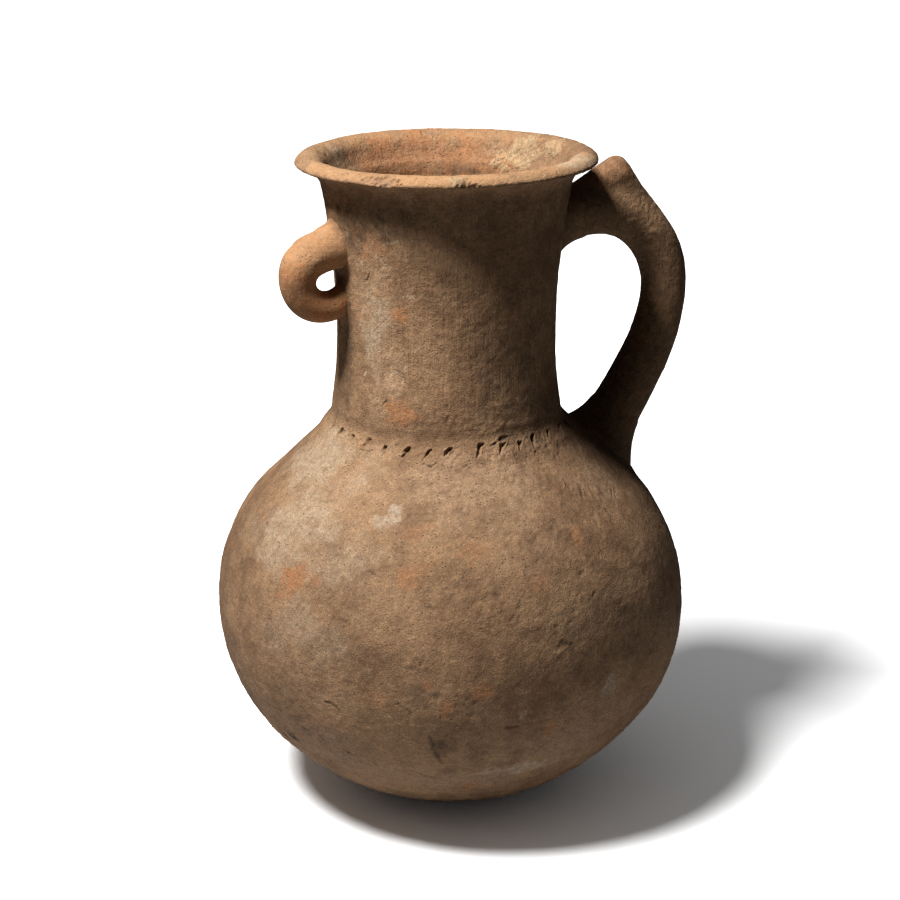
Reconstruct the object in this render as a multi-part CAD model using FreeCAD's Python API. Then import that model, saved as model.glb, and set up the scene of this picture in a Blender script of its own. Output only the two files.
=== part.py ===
import FreeCAD, Part
import math
import os

# A hand-built earthenware jug: a round body, a separately thrown neck with an everted lip,
# a peaked loop handle on one side and a small rolled scroll on the other.
# Each solid is one lump of clay that the potter shapes and then lutes on with soft clay.
# Millimetres, +Z up, origin at the centre of the flat that the jug stands on.
# A landing angle is the heading, in degrees up from +X, at which an outline or a roll arrives.
# The handle lies towards +X and the scroll towards -X.

# Body, from the flat up to the foot of the neck
flat_radius = 20.0
girth_radius = 87.5
body_wall = 5.5
underside_rise = 17.0
underside_inset = 31.0
lower_belly_rise = 23.0
lower_belly_inset = 9.9
girth_rise = 34.5
upper_belly_rise = 33.0
upper_belly_inset = 8.5
shoulder_rise = 13.8
shoulder_inset = 19.5
neck_foot_rise = 23.0
underside_landing_angle = -167.0
shoulder_landing_angle = 135.0
girth_seam_bevel = 4.0

# Neck, from its foot up to the crest of the lip
neck_waist_radius = 39.9
neck_wall = 5.2
neck_foot_flare = 3.8
neck_waist_rise = 31.7
neck_top_flare = 5.0
neck_top_rise = 55.5

# Everted lip, in section
lip_rise = 11.5
lip_reach = 9.1
lip_crest_inset = 4.5
lip_nose_drop = 2.4
lip_edge_thickness = 1.6
lip_edge_inset = 0.6
throat_inset = 6.0
throat_drop = 4.0

# Band of soft clay over the neck joint, stabbed all round with a pointed tool
band_up_neck = 4.5
band_down_shoulder = 5.0
band_thickness = 1.9
band_edge_thickness = 0.4
stab_count = 32
stab_width = 3.0
stab_height = 5.0
stab_depth = 1.7
stab_point_lean = 1.2
stab_deep_lean = 0.6
stab_deep_lift = 1.0
stab_tool_clearance = 1.4

# Handle roll: the line through its middle, its half thickness and how it lands on neck and shoulder
# Reaches are measured out from the neck's waist, or at the foot from the neck's foot.
handle_crown_reach = 19.6
handle_crown_rise = 72.6
handle_root_drop = 2.6
handle_back_reach = 51.1
handle_back_drop = 35.4
handle_foot_reach = 18.8
handle_root_run = 15.0
handle_root_radius = 80.0
handle_root_landing_angle = 194.6
handle_foot_run = 18.0
handle_foot_radius = 240.0
handle_foot_landing_angle = -129.5
handle_root_half = 10.0
handle_crown_half = 9.4
handle_back_half = 8.5
handle_bend_half = 9.8
handle_foot_half = 10.8

# Thumb peak pinched on to the bend of the handle
peak_rise = 18.7
peak_base_depth = 2.2
peak_lean = 9.7
peak_base_lean = 8.4
peak_half_length = 18.0
peak_waist_drop = 9.2
peak_waist_half_length = 10.2
peak_neck_drop = 5.1
peak_neck_half_length = 6.5
peak_half_width = 6.4
peak_neck_half_width = 5.8
peak_tip_radius = 5.0

# Scroll roll: the same, and it tapers to a tip that is pressed back against the neck
# Drops are measured down from the middle of its root.
scroll_root_rise = 69.9
scroll_top_reach = 8.7
scroll_top_drop = 3.2
scroll_out_reach = 17.6
scroll_out_drop = 13.2
scroll_low_reach = 7.9
scroll_low_drop = 23.3
scroll_tip_drop = 17.0
scroll_root_run = 6.0
scroll_root_radius = 30.0
scroll_root_landing_angle = 155.2
scroll_root_half = 7.2
scroll_top_half = 7.0
scroll_bend_half = 7.5
scroll_out_half = 6.6
scroll_low_half = 5.8
scroll_tip_half = 4.8

# Smeared clay round the roots of the rolls
bite = 3.0
smear_edge = 0.5
handle_top_smear_length = 12.0
handle_top_smear_spread = 3.4
handle_foot_smear_length = 15.0
handle_foot_smear_spread = 7.0
scroll_smear_length = 12.0
scroll_smear_spread = 2.2

# Spacing of the sections that a roll, a smear and the round tip of the peak are drawn through
section_step = 9.0
smear_sections = 6
tip_sections = 3


def at(radius, height):
    return FreeCAD.Vector(radius, 0, height)


def direction(heading):
    angle = math.radians(heading)
    return FreeCAD.Vector(math.cos(angle), 0, math.sin(angle))


class Bend:
    """A circular arc in the XZ plane that leaves start along heading and reaches end."""

    def __init__(self, start, heading, end):
        chord = end.sub(start)
        half_turn = math.degrees(math.atan2(chord.z, chord.x)) - heading
        self.start = start
        self.heading = heading
        self.turn = 2 * ((half_turn + 180) % 360 - 180)
        self.radius = chord.Length / (2 * math.sin(math.radians(self.turn / 2)))
        self.length = abs(self.radius * math.radians(self.turn))
        self.end = end
        self.end_heading = heading + self.turn
        self.centre = start.add(direction(heading + 90).multiply(self.radius))

    def heading_at(self, share):
        return self.heading + self.turn * share

    def point(self, share, inset=0):
        """The point at a share of the arc, moved to the left of the way along by inset."""
        arm = self.radius - inset
        return self.centre.sub(direction(self.heading_at(share) + 90).multiply(arm))

    def edge(self, first=0, last=1, inset=0):
        middle = (first + last) / 2
        points = [self.point(share, inset) for share in (first, middle, last)]
        return Part.Arc(*points).toShape()

    def reach_at(self, height):
        """The distance from the jug's axis at which the arc passes a height."""
        rise = height - self.centre.z
        reach = math.sqrt(self.radius ** 2 - rise ** 2)
        side = 1 if self.point(0.5).x > self.centre.x else -1
        return self.centre.x + side * reach


def bends(start, heading, ends):
    """Arcs through the given points, each leaving along the end of the one before."""
    chain = []
    for end in ends:
        arc = Bend(start, heading, end)
        chain.append(arc)
        start = end
        heading = arc.end_heading
    return chain


def landing(start, heading, end, end_heading):
    """Two arcs with equal tangents, which leave along one heading and arrive along another."""
    leave = direction(heading)
    arrive = direction(end_heading)
    way = end.sub(start)
    run = way.dot(leave.add(arrive))
    turn = 2 * (1 - leave.dot(arrive))
    tangent = way.dot(way) / (run + math.sqrt(run ** 2 + turn * way.dot(way)))
    joint = start.add(leave * tangent).add(end.sub(arrive * tangent)) * 0.5
    return bends(start, heading, [joint, end])


def arrival(end, end_heading, length, radius):
    """An arc of a given length and radius, positive where it turns left, that arrives at end."""
    turn = math.degrees(length / radius)
    centre = end.add(direction(end_heading + 90) * radius)
    start = centre.sub(direction(end_heading - turn + 90) * radius)
    return Bend(start, end_heading - turn, end)


def edges(chain, inset=0):
    return [arc.edge(inset=inset) for arc in chain]


def line(first, last):
    return Part.LineSegment(first, last).toShape()


def turned(outline):
    """A solid of revolution about Z from a closed outline in the XZ plane."""
    wire = Part.Wire(Part.__sortEdges__(outline))
    return Part.Face(wire).revolve(at(0, 0), direction(90), 360)


# Heights of the outline's stations, added up from the flat
underside_height = underside_rise
lower_belly_height = underside_height + lower_belly_rise
girth_height = lower_belly_height + girth_rise
upper_belly_height = girth_height + upper_belly_rise
shoulder_height = upper_belly_height + shoulder_rise
neck_foot_height = shoulder_height + neck_foot_rise
neck_waist_height = neck_foot_height + neck_waist_rise
neck_top_height = neck_waist_height + neck_top_rise
jug_height = neck_top_height + lip_rise

# The outside of the jug, as arcs that run on from each other
girth = at(girth_radius, girth_height)
neck_foot = at(neck_waist_radius + neck_foot_flare, neck_foot_height)
neck_waist = at(neck_waist_radius, neck_waist_height)
neck_top = at(neck_waist_radius + neck_top_flare, neck_top_height)
lip_radius = neck_top.x + lip_reach
lip_crest = at(lip_radius - lip_crest_inset, jug_height)
lip_nose = at(lip_radius, jug_height - lip_nose_drop)
lip_edge = at(lip_radius - lip_edge_inset, lip_nose.z - lip_edge_thickness)
throat = at(lip_crest.x - throat_inset, jug_height - throat_drop)

underside = at(girth_radius - underside_inset, underside_height)
belly_below = bends(girth, -90, [
    at(girth_radius - lower_belly_inset, lower_belly_height),
    underside,
])
heading = belly_below[-1].end_heading
belly_below += landing(underside, heading, at(flat_radius, 0), underside_landing_angle)

shoulder = at(girth_radius - shoulder_inset, shoulder_height)
belly_above = bends(girth, 90, [
    at(girth_radius - upper_belly_inset, upper_belly_height),
    shoulder,
])
heading = belly_above[-1].end_heading
belly_above += landing(shoulder, heading, neck_foot, shoulder_landing_angle)

neck_below = bends(neck_waist, -90, [neck_foot])
neck_above = bends(neck_waist, 90, [neck_top, lip_edge])
lip_outer = bends(lip_crest, 0, [lip_nose, lip_edge])


def envelope():
    """The jug as if it were full, which trims whatever is luted on to its outside."""
    outline = edges(belly_below) + edges(belly_above) + edges(neck_below)
    outline += edges(neck_above) + edges(lip_outer)
    outline += [line(at(flat_radius, 0), at(0, 0))]
    outline += [line(at(0, 0), at(0, jug_height))]
    outline += [line(at(0, jug_height), lip_crest)]
    return turned(outline)


def girth_seam():
    """The bevelled seam between bowl and shoulder: its outer and inner ends, and its share."""
    first = belly_below[0]
    share = girth_seam_bevel / first.length
    return girth, first.point(share, -body_wall), share


def neck_seam():
    """The seam under the neck's foot, square to the neck's wall."""
    return neck_foot, neck_below[0].point(1, -neck_wall)


def body_bowl():
    """The lower half, with a floor that closes in an arc centred on the axis."""
    outer, inner, share = girth_seam()
    middle = belly_below[1]
    floor_start = middle.point(1, -body_wall)
    floor_heading = middle.end_heading
    floor_radius = floor_start.x / math.sin(math.radians(floor_heading + 180))
    floor_centre = floor_start.z + math.sqrt(floor_radius ** 2 - floor_start.x ** 2)
    floor_bottom = at(0, floor_centre - abs(floor_radius))
    outline = edges(belly_below)
    outline += [line(outer, inner)]
    outline += [belly_below[0].edge(share, 1, -body_wall)]
    outline += [middle.edge(inset=-body_wall)]
    outline += [Bend(floor_start, floor_heading, floor_bottom).edge()]
    outline += [line(floor_bottom, at(0, 0))]
    outline += [line(at(0, 0), at(flat_radius, 0))]
    return turned(outline)


def body_shoulder():
    """The upper half, from the girth seam to the seat under the neck."""
    outer, inner, share = girth_seam()
    seat_outer, seat_inner = neck_seam()
    outline = edges(belly_above)
    outline += [line(outer, inner)]
    outline += [belly_below[0].edge(0, share, -body_wall)]
    outline += edges(belly_above, body_wall)
    outline += [line(belly_above[-1].point(1, body_wall), seat_inner)]
    outline += [line(seat_inner, seat_outer)]
    return turned(outline)


def neck():
    """The neck and its everted lip, thrown in one piece."""
    seat_outer, seat_inner = neck_seam()
    inner_top = neck_above[0].point(1, neck_wall)
    outline = edges(neck_below) + edges(neck_above) + edges(lip_outer)
    outline += edges(bends(lip_crest, 180, [throat, inner_top]))
    outline += [neck_above[0].edge(inset=neck_wall)]
    outline += [neck_below[0].edge(inset=-neck_wall)]
    outline += [line(seat_inner, seat_outer)]
    return turned(outline)


def stab(heading):
    """The hole of one stab: a three-sided point pushed in square to the band, drawn past its face."""
    surface = neck_foot.add(direction(heading) * band_thickness)

    def place(sideways, up, depth):
        point = surface.add(FreeCAD.Vector(0, sideways, 0))
        point = point.add(direction(heading + 90) * up)
        return point.sub(direction(heading) * depth)

    tip = place(-stab_deep_lean, stab_deep_lift, stab_depth)
    mouth = [
        place(-stab_width / 2, stab_height / 2, 0),
        place(stab_width / 2, stab_height / 2, 0),
        place(-stab_point_lean, -stab_height / 2, 0),
    ]
    tool_scale = 1 + stab_tool_clearance / stab_depth
    rim = [tip.add(corner.sub(tip) * tool_scale) for corner in mouth]
    faces = [Part.Face(Part.makePolygon([rim[0], rim[1], rim[2], rim[0]]))]
    for first, last in ((0, 1), (1, 2), (2, 0)):
        faces.append(Part.Face(Part.makePolygon([tip, rim[first], rim[last], tip])))
    return Part.Solid(Part.Shell(faces))


def luting_band():
    """Soft clay pressed over the neck joint, keyed to it by a row of stabs."""
    upper = neck_below[0]
    lower = belly_above[-1]
    top = 1 - band_up_neck / upper.length
    bottom = 1 - band_down_shoulder / lower.length
    neck_normal = upper.end_heading + 90
    shoulder_normal = lower.end_heading - 90
    heading = (neck_normal + shoulder_normal) / 2
    crown = neck_foot.add(direction(heading) * band_thickness)
    top_edge = upper.point(top, band_edge_thickness)
    bottom_edge = lower.point(bottom, -band_edge_thickness)
    outline = [upper.edge(top, 1), lower.edge(bottom, 1)]
    outline += [line(upper.point(top), top_edge)]
    outline += [Part.Arc(top_edge, crown, bottom_edge).toShape()]
    outline += [line(bottom_edge, lower.point(bottom))]
    band = turned(outline)
    tool = stab(heading)
    pitch = 360 / stab_count
    stabs = []
    for index in range(stab_count):
        copy = tool.copy()
        copy.rotate(at(0, 0), direction(90), pitch / 2 + index * pitch)
        stabs.append(copy)
    return band.cut(stabs)


class Roll:
    """A round roll of clay along stretches of arcs, with a half thickness at each end of a stretch."""

    def __init__(self, stretches, halves):
        self.arcs = [arc for stretch in stretches for arc in stretch]
        self.halves = halves
        self.marks = [0]
        for stretch in stretches:
            self.marks.append(self.marks[-1] + sum(arc.length for arc in stretch))
        self.length = self.marks[-1]

    def half(self, distance):
        """Half the thickness of the roll at a distance along it."""
        index = 0
        while distance > self.marks[index + 1] and index < len(self.marks) - 2:
            index += 1
        share = (distance - self.marks[index]) / (self.marks[index + 1] - self.marks[index])
        return self.halves[index] + (self.halves[index + 1] - self.halves[index]) * share

    def section(self, distance, extra=0):
        """The round outline of the roll at a distance along it, widened by extra."""
        ring = Part.makeCircle(self.half(distance) + extra)
        index = 0
        while distance > self.arcs[index].length and index < len(self.arcs) - 1:
            distance -= self.arcs[index].length
            index += 1
        arc = self.arcs[index]
        share = distance / arc.length
        ring.rotate(at(0, 0), FreeCAD.Vector(0, 1, 0), 90 - arc.heading_at(share))
        ring.translate(arc.point(share))
        return Part.Wire(ring)

    def solid(self):
        count = round(self.length / section_step)
        rings = [self.section(self.length * step / count) for step in range(count + 1)]
        return Part.makeLoft(rings, True, False)

    def smear(self, length, spread, from_end):
        """Clay smeared from the wall on to the roll, thick at the wall and thin at its edge."""
        rings = []
        for step in range(smear_sections + 1):
            share = step / smear_sections
            distance = (bite + length) * share
            extra = smear_edge + spread * (1 - share) ** 2
            place = self.length - distance if from_end else distance
            rings.append(self.section(place, extra))
        return Part.makeLoft(rings, True, False).cut(self.solid())


def backwards(chain):
    """The same arcs, met from the other end."""
    return [Bend(arc.end, arc.end_heading + 180, arc.start) for arc in reversed(chain)]


def neck_reach(height):
    """The neck's outside radius at a height."""
    arc = neck_above[0] if height > neck_waist_height else neck_below[0]
    return arc.reach_at(height)


def shoulder_point(reach, inset):
    """The point of the shoulder's outline at a reach from the axis, moved in by inset."""
    arc = next(arc for arc in belly_above if arc.end.x <= reach)
    share = (arc.start.x - reach) / (arc.start.x - arc.end.x)
    return arc.point(share, inset)


def make_handle():
    crown_height = neck_foot_height + handle_crown_rise
    crown = at(neck_waist_radius + handle_crown_reach, crown_height)
    back = at(neck_waist_radius + handle_back_reach, crown_height - handle_back_drop)
    root_height = crown_height - handle_root_drop
    root = at(neck_reach(root_height) - bite, root_height)
    foot = shoulder_point(neck_foot.x + handle_foot_reach, bite)
    root_run = arrival(root, handle_root_landing_angle, handle_root_run, handle_root_radius)
    foot_run = arrival(foot, handle_foot_landing_angle, handle_foot_run, -handle_foot_radius)
    crown_bend = landing(crown, 180, root_run.start, root_run.heading)
    back_bend = Bend(crown, 0, back)
    foot_bend = landing(back, back_bend.end_heading, foot_run.start, foot_run.heading)
    stretches = [backwards(crown_bend + [root_run]), [back_bend], foot_bend, [foot_run]]
    halves = [handle_root_half, handle_crown_half, handle_back_half]
    halves += [handle_bend_half, handle_foot_half]
    return Roll(stretches, halves), crown


def make_scroll():
    root_height = neck_foot_height + scroll_root_rise
    tip_height = root_height - scroll_tip_drop
    root = at(neck_reach(root_height) - bite, root_height)
    tip = at(neck_reach(tip_height) - bite, tip_height)
    top = at(neck_waist_radius + scroll_top_reach, root_height - scroll_top_drop)
    out = at(neck_waist_radius + scroll_out_reach, root_height - scroll_out_drop)
    low = at(neck_waist_radius + scroll_low_reach, root_height - scroll_low_drop)
    root_run = arrival(root, scroll_root_landing_angle, scroll_root_run, -scroll_root_radius)
    top_bend = Bend(out, 90, top)
    root_bend = landing(top, top_bend.end_heading, root_run.start, root_run.heading)
    low_bend, tip_bend = bends(out, -90, [low, tip])
    bend = top_bend.point(0.5)
    lower_half, upper_half = bends(out, 90, [bend, top])
    stretches = [backwards(root_bend + [root_run]), backwards([upper_half])]
    stretches += [backwards([lower_half]), [low_bend], [tip_bend]]
    halves = [scroll_root_half, scroll_top_half, scroll_bend_half]
    halves += [scroll_out_half, scroll_low_half, scroll_tip_half]
    return Roll(stretches, halves)


def thumb_peak(crown, seats):
    """The peak, drawn through flat ovals up to a rounded tip and seated on the roll."""
    tip_height = crown.z + peak_rise
    base_drop = peak_rise + peak_base_depth
    stations = [
        (base_drop, peak_half_length, peak_half_width),
        (peak_waist_drop, peak_waist_half_length, peak_half_width),
        (peak_neck_drop, peak_neck_half_length, peak_neck_half_width),
    ]
    for step in range(tip_sections, 0, -1):
        turn = math.radians(90) * step / (tip_sections + 1)
        drop = peak_tip_radius * (1 - math.cos(turn))
        half = peak_tip_radius * math.sin(turn)
        stations.append((drop, half, half))
    ovals = []
    for drop, half_length, half_width in stations:
        lean = peak_lean + (peak_base_lean - peak_lean) * drop / base_drop
        centre = at(crown.x + lean, tip_height - drop)
        oval = Part.Ellipse(FreeCAD.Vector(0, 0, 0), half_length, half_width).toShape()
        oval.translate(centre)
        ovals.append(Part.Wire(oval))
    tip = Part.Vertex(crown.x + peak_lean, 0, tip_height)
    return Part.makeLoft(ovals + [tip], True, False).cut(seats)


def mirrored(shape):
    """Turned half round the jug, from the handle's side to the scroll's side."""
    copy = shape.copy()
    copy.rotate(at(0, 0), direction(90), 180)
    return copy


full_jug = envelope()
band = luting_band()
handle, handle_crown = make_handle()
handle_solid = handle.solid()
handle_top = handle.smear(handle_top_smear_length, handle_top_smear_spread, False)
handle_foot = handle.smear(handle_foot_smear_length, handle_foot_smear_spread, True)
scroll = make_scroll()
scroll_solid = scroll.solid()
scroll_root = scroll.smear(scroll_smear_length, scroll_smear_spread, False)

nodes = {
    "body_bowl": body_bowl(),
    "body_shoulder": body_shoulder(),
    "neck": neck(),
    "neck_luting_band": band,
    "handle_roll": handle_solid.cut([full_jug, band]),
    "thumb_peak": thumb_peak(handle_crown, [handle_solid, full_jug]),
    "handle_top_luting": handle_top.cut(full_jug),
    "handle_foot_luting": handle_foot.cut([full_jug, band]),
    "scroll_roll": mirrored(scroll_solid.cut(full_jug)),
    "scroll_luting": mirrored(scroll_root.cut(full_jug)),
}

os.makedirs("parts", exist_ok=True)
for name, shape in nodes.items():
    shape.exportStep(os.path.join("parts", name + ".step"))
    print(name, len(shape.Solids), "solid", round(shape.Volume), "mm3", shape.isValid())
print("height", jug_height, "lip radius", lip_radius, "girth", 2 * girth_radius)
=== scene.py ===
# %% [markdown]
# A hand-built earthenware jug.
# The frame holds the jug's ten lumps of clay at their true size. This lesson gives them the look of old,
# unglazed clay: an uneven wall, a stabbed row at the neck's foot, a chipped lip, grit and soil.
# A reader who is learning Blender can follow it cell by cell, because each code cell prints what it made.

# %% Load the frame
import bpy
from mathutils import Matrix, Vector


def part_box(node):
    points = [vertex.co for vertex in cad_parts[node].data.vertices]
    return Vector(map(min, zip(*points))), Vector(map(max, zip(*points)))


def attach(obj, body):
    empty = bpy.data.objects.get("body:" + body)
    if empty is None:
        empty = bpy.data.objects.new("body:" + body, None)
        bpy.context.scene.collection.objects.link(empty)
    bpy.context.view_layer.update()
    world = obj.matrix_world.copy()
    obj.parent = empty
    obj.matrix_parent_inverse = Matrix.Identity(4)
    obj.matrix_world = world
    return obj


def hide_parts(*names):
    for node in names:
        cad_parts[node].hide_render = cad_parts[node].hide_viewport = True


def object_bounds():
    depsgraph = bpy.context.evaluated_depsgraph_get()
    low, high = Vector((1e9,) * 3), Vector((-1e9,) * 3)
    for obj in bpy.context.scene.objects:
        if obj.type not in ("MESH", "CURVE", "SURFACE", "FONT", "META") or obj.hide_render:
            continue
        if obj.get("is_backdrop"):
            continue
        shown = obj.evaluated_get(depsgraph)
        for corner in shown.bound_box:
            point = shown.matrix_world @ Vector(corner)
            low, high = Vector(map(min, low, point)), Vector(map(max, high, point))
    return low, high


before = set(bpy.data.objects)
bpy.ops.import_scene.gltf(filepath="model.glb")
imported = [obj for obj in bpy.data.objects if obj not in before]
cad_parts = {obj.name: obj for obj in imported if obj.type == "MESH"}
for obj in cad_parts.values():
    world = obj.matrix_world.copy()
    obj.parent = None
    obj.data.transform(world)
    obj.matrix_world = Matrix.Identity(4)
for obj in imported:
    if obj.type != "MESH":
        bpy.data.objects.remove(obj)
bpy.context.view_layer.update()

print("pieces of the frame:", sorted(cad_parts))

# %% Modules and units
from itertools import product
import math

import bmesh
import bpy
from mathutils import Euler, Vector
from mathutils.bvhtree import BVHTree
import numpy as np

MM = 0.001
print("full detail")

# %% [markdown]
# The camera stands in front of the jug and a little to the scroll's side, about 18 degrees above the
# horizon. A long lens from three quarters of a metre keeps the perspective of the photograph.

# %% Camera
IMAGE_SIZE = 900
CAMERA_PLACE = Vector((-312.85, -674.08, 369.81)) * MM
CAMERA_TILT = math.radians(72.20)
CAMERA_TURN = math.radians(-25.0)
LENS_LENGTH = 84.0
SENSOR_WIDTH = 36.0

camera_data = bpy.data.cameras.new("photo_camera")
camera_data.lens = LENS_LENGTH
camera_data.sensor_width = SENSOR_WIDTH
camera = bpy.data.objects.new("photo_camera", camera_data)
camera.location = CAMERA_PLACE
camera.rotation_euler = (CAMERA_TILT, 0, CAMERA_TURN)
bpy.context.scene.collection.objects.link(camera)
bpy.context.scene.camera = camera

to_the_right = Vector((math.cos(CAMERA_TURN), math.sin(CAMERA_TURN), 0))
away = Vector((-math.sin(CAMERA_TURN), math.cos(CAMERA_TURN), 0))
print("camera looks along", [round(value, 3) for value in away])

# %% [markdown]
# The sky, the floor and the clay are all made of shader nodes. Four small helpers add and join them, so that
# each material further down reads like a few sums.

# %% Helpers for shader nodes
def connect(tree, node, inputs):
    """Gives each input of a node a value, or joins another node's output to it."""
    for key, value in dict(inputs).items():
        if isinstance(value, bpy.types.NodeSocket):
            tree.links.new(value, node.inputs[key])
        else:
            node.inputs[key].default_value = value
    return node


def add_node(tree, kind, inputs=(), **settings):
    """A new shader node with its settings and inputs."""
    node = tree.nodes.new("ShaderNode" + kind)
    for name, value in settings.items():
        setattr(node, name, value)
    return connect(tree, node, inputs)


def maths(tree, operation, *values):
    return add_node(tree, "Math", dict(enumerate(values)), operation=operation).outputs[0]


def span(tree, value, low, high, new_low=0.0, new_high=1.0):
    """A value's place between low and high, as a smooth step between two new values."""
    inputs = {"Value": value, "From Min": low, "From Max": high, "To Min": new_low, "To Max": new_high}
    return add_node(tree, "MapRange", inputs, interpolation_type="SMOOTHSTEP").outputs["Result"]


print("helpers for nodes ready")

# %% [markdown]
# One lamp stands high on the left and lights the jug almost by itself, so its shadow falls to the right and
# to the back. A disc of light gives that shadow its soft edge. A faint sky fills the dark side.

# %% Lamp and sky
LAMP_DISTANCE = 1200 * MM
LAMP_AIM = Vector((0, 0, 100 * MM))
LAMP_ELEVATION = math.radians(61)
LAMP_SIDE = math.radians(38)
LAMP_WIDTH = 330 * MM
LAMP_POWER = 26.5
SKY_STRENGTH = 0.022

flat_way = -(to_the_right * math.cos(LAMP_SIDE) + away * math.sin(LAMP_SIDE)) * math.cos(LAMP_ELEVATION)
towards_lamp = flat_way + Vector((0, 0, math.sin(LAMP_ELEVATION)))
lamp_data = bpy.data.lights.new("key_lamp", "AREA")
lamp_data.shape = "DISK"
lamp_data.size = LAMP_WIDTH
lamp_data.energy = LAMP_POWER
lamp = bpy.data.objects.new("key_lamp", lamp_data)
lamp.location = LAMP_AIM + towards_lamp * LAMP_DISTANCE
lamp.rotation_euler = towards_lamp.to_track_quat("Z", "Y").to_euler()
bpy.context.scene.collection.objects.link(lamp)

world = bpy.data.worlds.new("studio")
world.use_nodes = True
bpy.context.scene.world = world
tree = world.node_tree
tree.nodes.clear()
seen = add_node(tree, "LightPath").outputs["Is Camera Ray"]
strength = maths(tree, "MULTIPLY_ADD", seen, 1 - SKY_STRENGTH, SKY_STRENGTH)
sky = add_node(tree, "Background", {"Strength": strength})
add_node(tree, "OutputWorld", {"Surface": sky.outputs[0]})
bpy.context.scene.view_settings.view_transform = "Standard"
print("lamp at", [round(value, 3) for value in lamp.location])

# %% [markdown]
# The jug stands on a white sheet, which the camera sees overexposed, as in the photograph, so it is white up
# to the shadow. The room's own faint light shows only in the shadow, and less under the jug than beside it.
# Further out the sheet shines white to the camera alone, because one lamp can't light a whole floor evenly.
# To the jug it gives light back only near its foot, where the lamp's pool of light lies.

# %% Floor
FLOOR_HALF = 6.0
POOL_ENDS = (0.12, 0.50)
WHITE_ENDS = (0.30, 0.62)
SEEN_COLOUR = 1.3
GIVEN_COLOUR = 0.50
ROOM_LIGHT = 0.24
ROOM_REACH = 0.30
ROOM_FALL = 1.3

floor_mesh = bpy.data.meshes.new("floor")
corners = [(x * FLOOR_HALF, y * FLOOR_HALF, 0) for x, y in ((-1, -1), (1, -1), (1, 1), (-1, 1))]
floor_mesh.from_pydata(corners, [], [(0, 1, 2, 3)])
floor = bpy.data.objects.new("floor", floor_mesh)
bpy.context.scene.collection.objects.link(floor)
floor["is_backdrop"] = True

paper = bpy.data.materials.new("white_paper")
paper.use_nodes = True
tree = paper.node_tree
tree.nodes.clear()
place = add_node(tree, "TexCoord").outputs["Object"]
distance = add_node(tree, "VectorMath", {0: place}, operation="LENGTH").outputs["Value"]
seen = add_node(tree, "LightPath").outputs["Is Camera Ray"]
given_back = span(tree, distance, *POOL_ENDS, GIVEN_COLOUR, 0.0)
extra = maths(tree, "MULTIPLY", maths(tree, "SUBTRACT", SEEN_COLOUR, given_back), seen)
sheet = add_node(tree, "BsdfDiffuse", {"Color": maths(tree, "ADD", given_back, extra)})
open_sky = add_node(tree, "AmbientOcclusion", {"Distance": ROOM_REACH}).outputs["AO"]
open_sky = maths(tree, "POWER", open_sky, ROOM_FALL)
shine = maths(tree, "MULTIPLY_ADD", open_sky, ROOM_LIGHT, span(tree, distance, *WHITE_ENDS))
glow = add_node(tree, "Emission", {"Strength": maths(tree, "MULTIPLY", shine, seen)})
both = add_node(tree, "AddShader", {0: sheet.outputs[0], 1: glow.outputs[0]})
add_node(tree, "OutputMaterial", {"Surface": both.outputs[0]})
floor_mesh.materials.append(paper)
print("floor", 2 * FLOOR_HALF, "m wide")

# %% [markdown]
# A pot made on a slow wheel is a turned shape at heart. The bowl, the shoulder and the neck of the frame are
# turned solids, so the cut through the axis is enough to draw them. It is read from the frame as the edges
# that lie in the half plane y = 0, and the edges that two lumps share, their seams, are left out.

# %% Read the jug's section from the frame
WELD = 0.002 * MM
DIGITS = 6
SECTION_START = (20 * MM, 0)


def cut_edges(node):
    """The edges of a turned solid that lie in the half plane x > 0, y = 0, as pairs of (radius, height)."""
    mesh = bmesh.new()
    mesh.from_mesh(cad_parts[node].data)
    bmesh.ops.remove_doubles(mesh, verts=mesh.verts, dist=WELD)
    found = set()
    for edge in mesh.edges:
        ends = [vert.co for vert in edge.verts]
        if all(abs(end.y) < WELD and end.x > -WELD for end in ends):
            found.add(frozenset((abs(round(end.x, DIGITS)), round(end.z, DIGITS)) for end in ends))
    mesh.free()
    return found


def chained(pairs, start):
    """The points of the edges in order, from the one nearest to start."""
    neighbours = {}
    for first, second in pairs:
        neighbours.setdefault(first, []).append(second)
        neighbours.setdefault(second, []).append(first)
    point = min(neighbours, key=lambda known: math.dist(known, start))
    chain = [point]
    while True:
        onward = [near for near in neighbours[chain[-1]] if near not in chain[-2:] and near != chain[0]]
        if not onward:
            return np.array(chain)
        chain.append(onward[0])


bowl_cut = cut_edges("body_bowl")
shoulder_cut = cut_edges("body_shoulder")
neck_cut = cut_edges("neck")
single = (bowl_cut ^ shoulder_cut) ^ neck_cut
section = chained([tuple(edge) for edge in single if len(edge) == 2], SECTION_START)
crest = int(np.argmax(section[:, 1]))
outer_cut = section[:crest + 1]
inner_cut = section[crest:]
print("section", len(section), "points, crest of the lip at", section[crest] / MM)

# %% [markdown]
# The section's points are the corners of flat facets. A Catmull-Rom curve through them gives back the
# potter's smooth line, at any spacing. The band of soft clay is pressed into the corner between neck and
# shoulder, so there the line runs over the band's crown.

# %% Draw the section as smooth lines
BAND_BLEND = 2.5 * MM
BAND_CLEARANCE = 0.25 * MM


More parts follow.
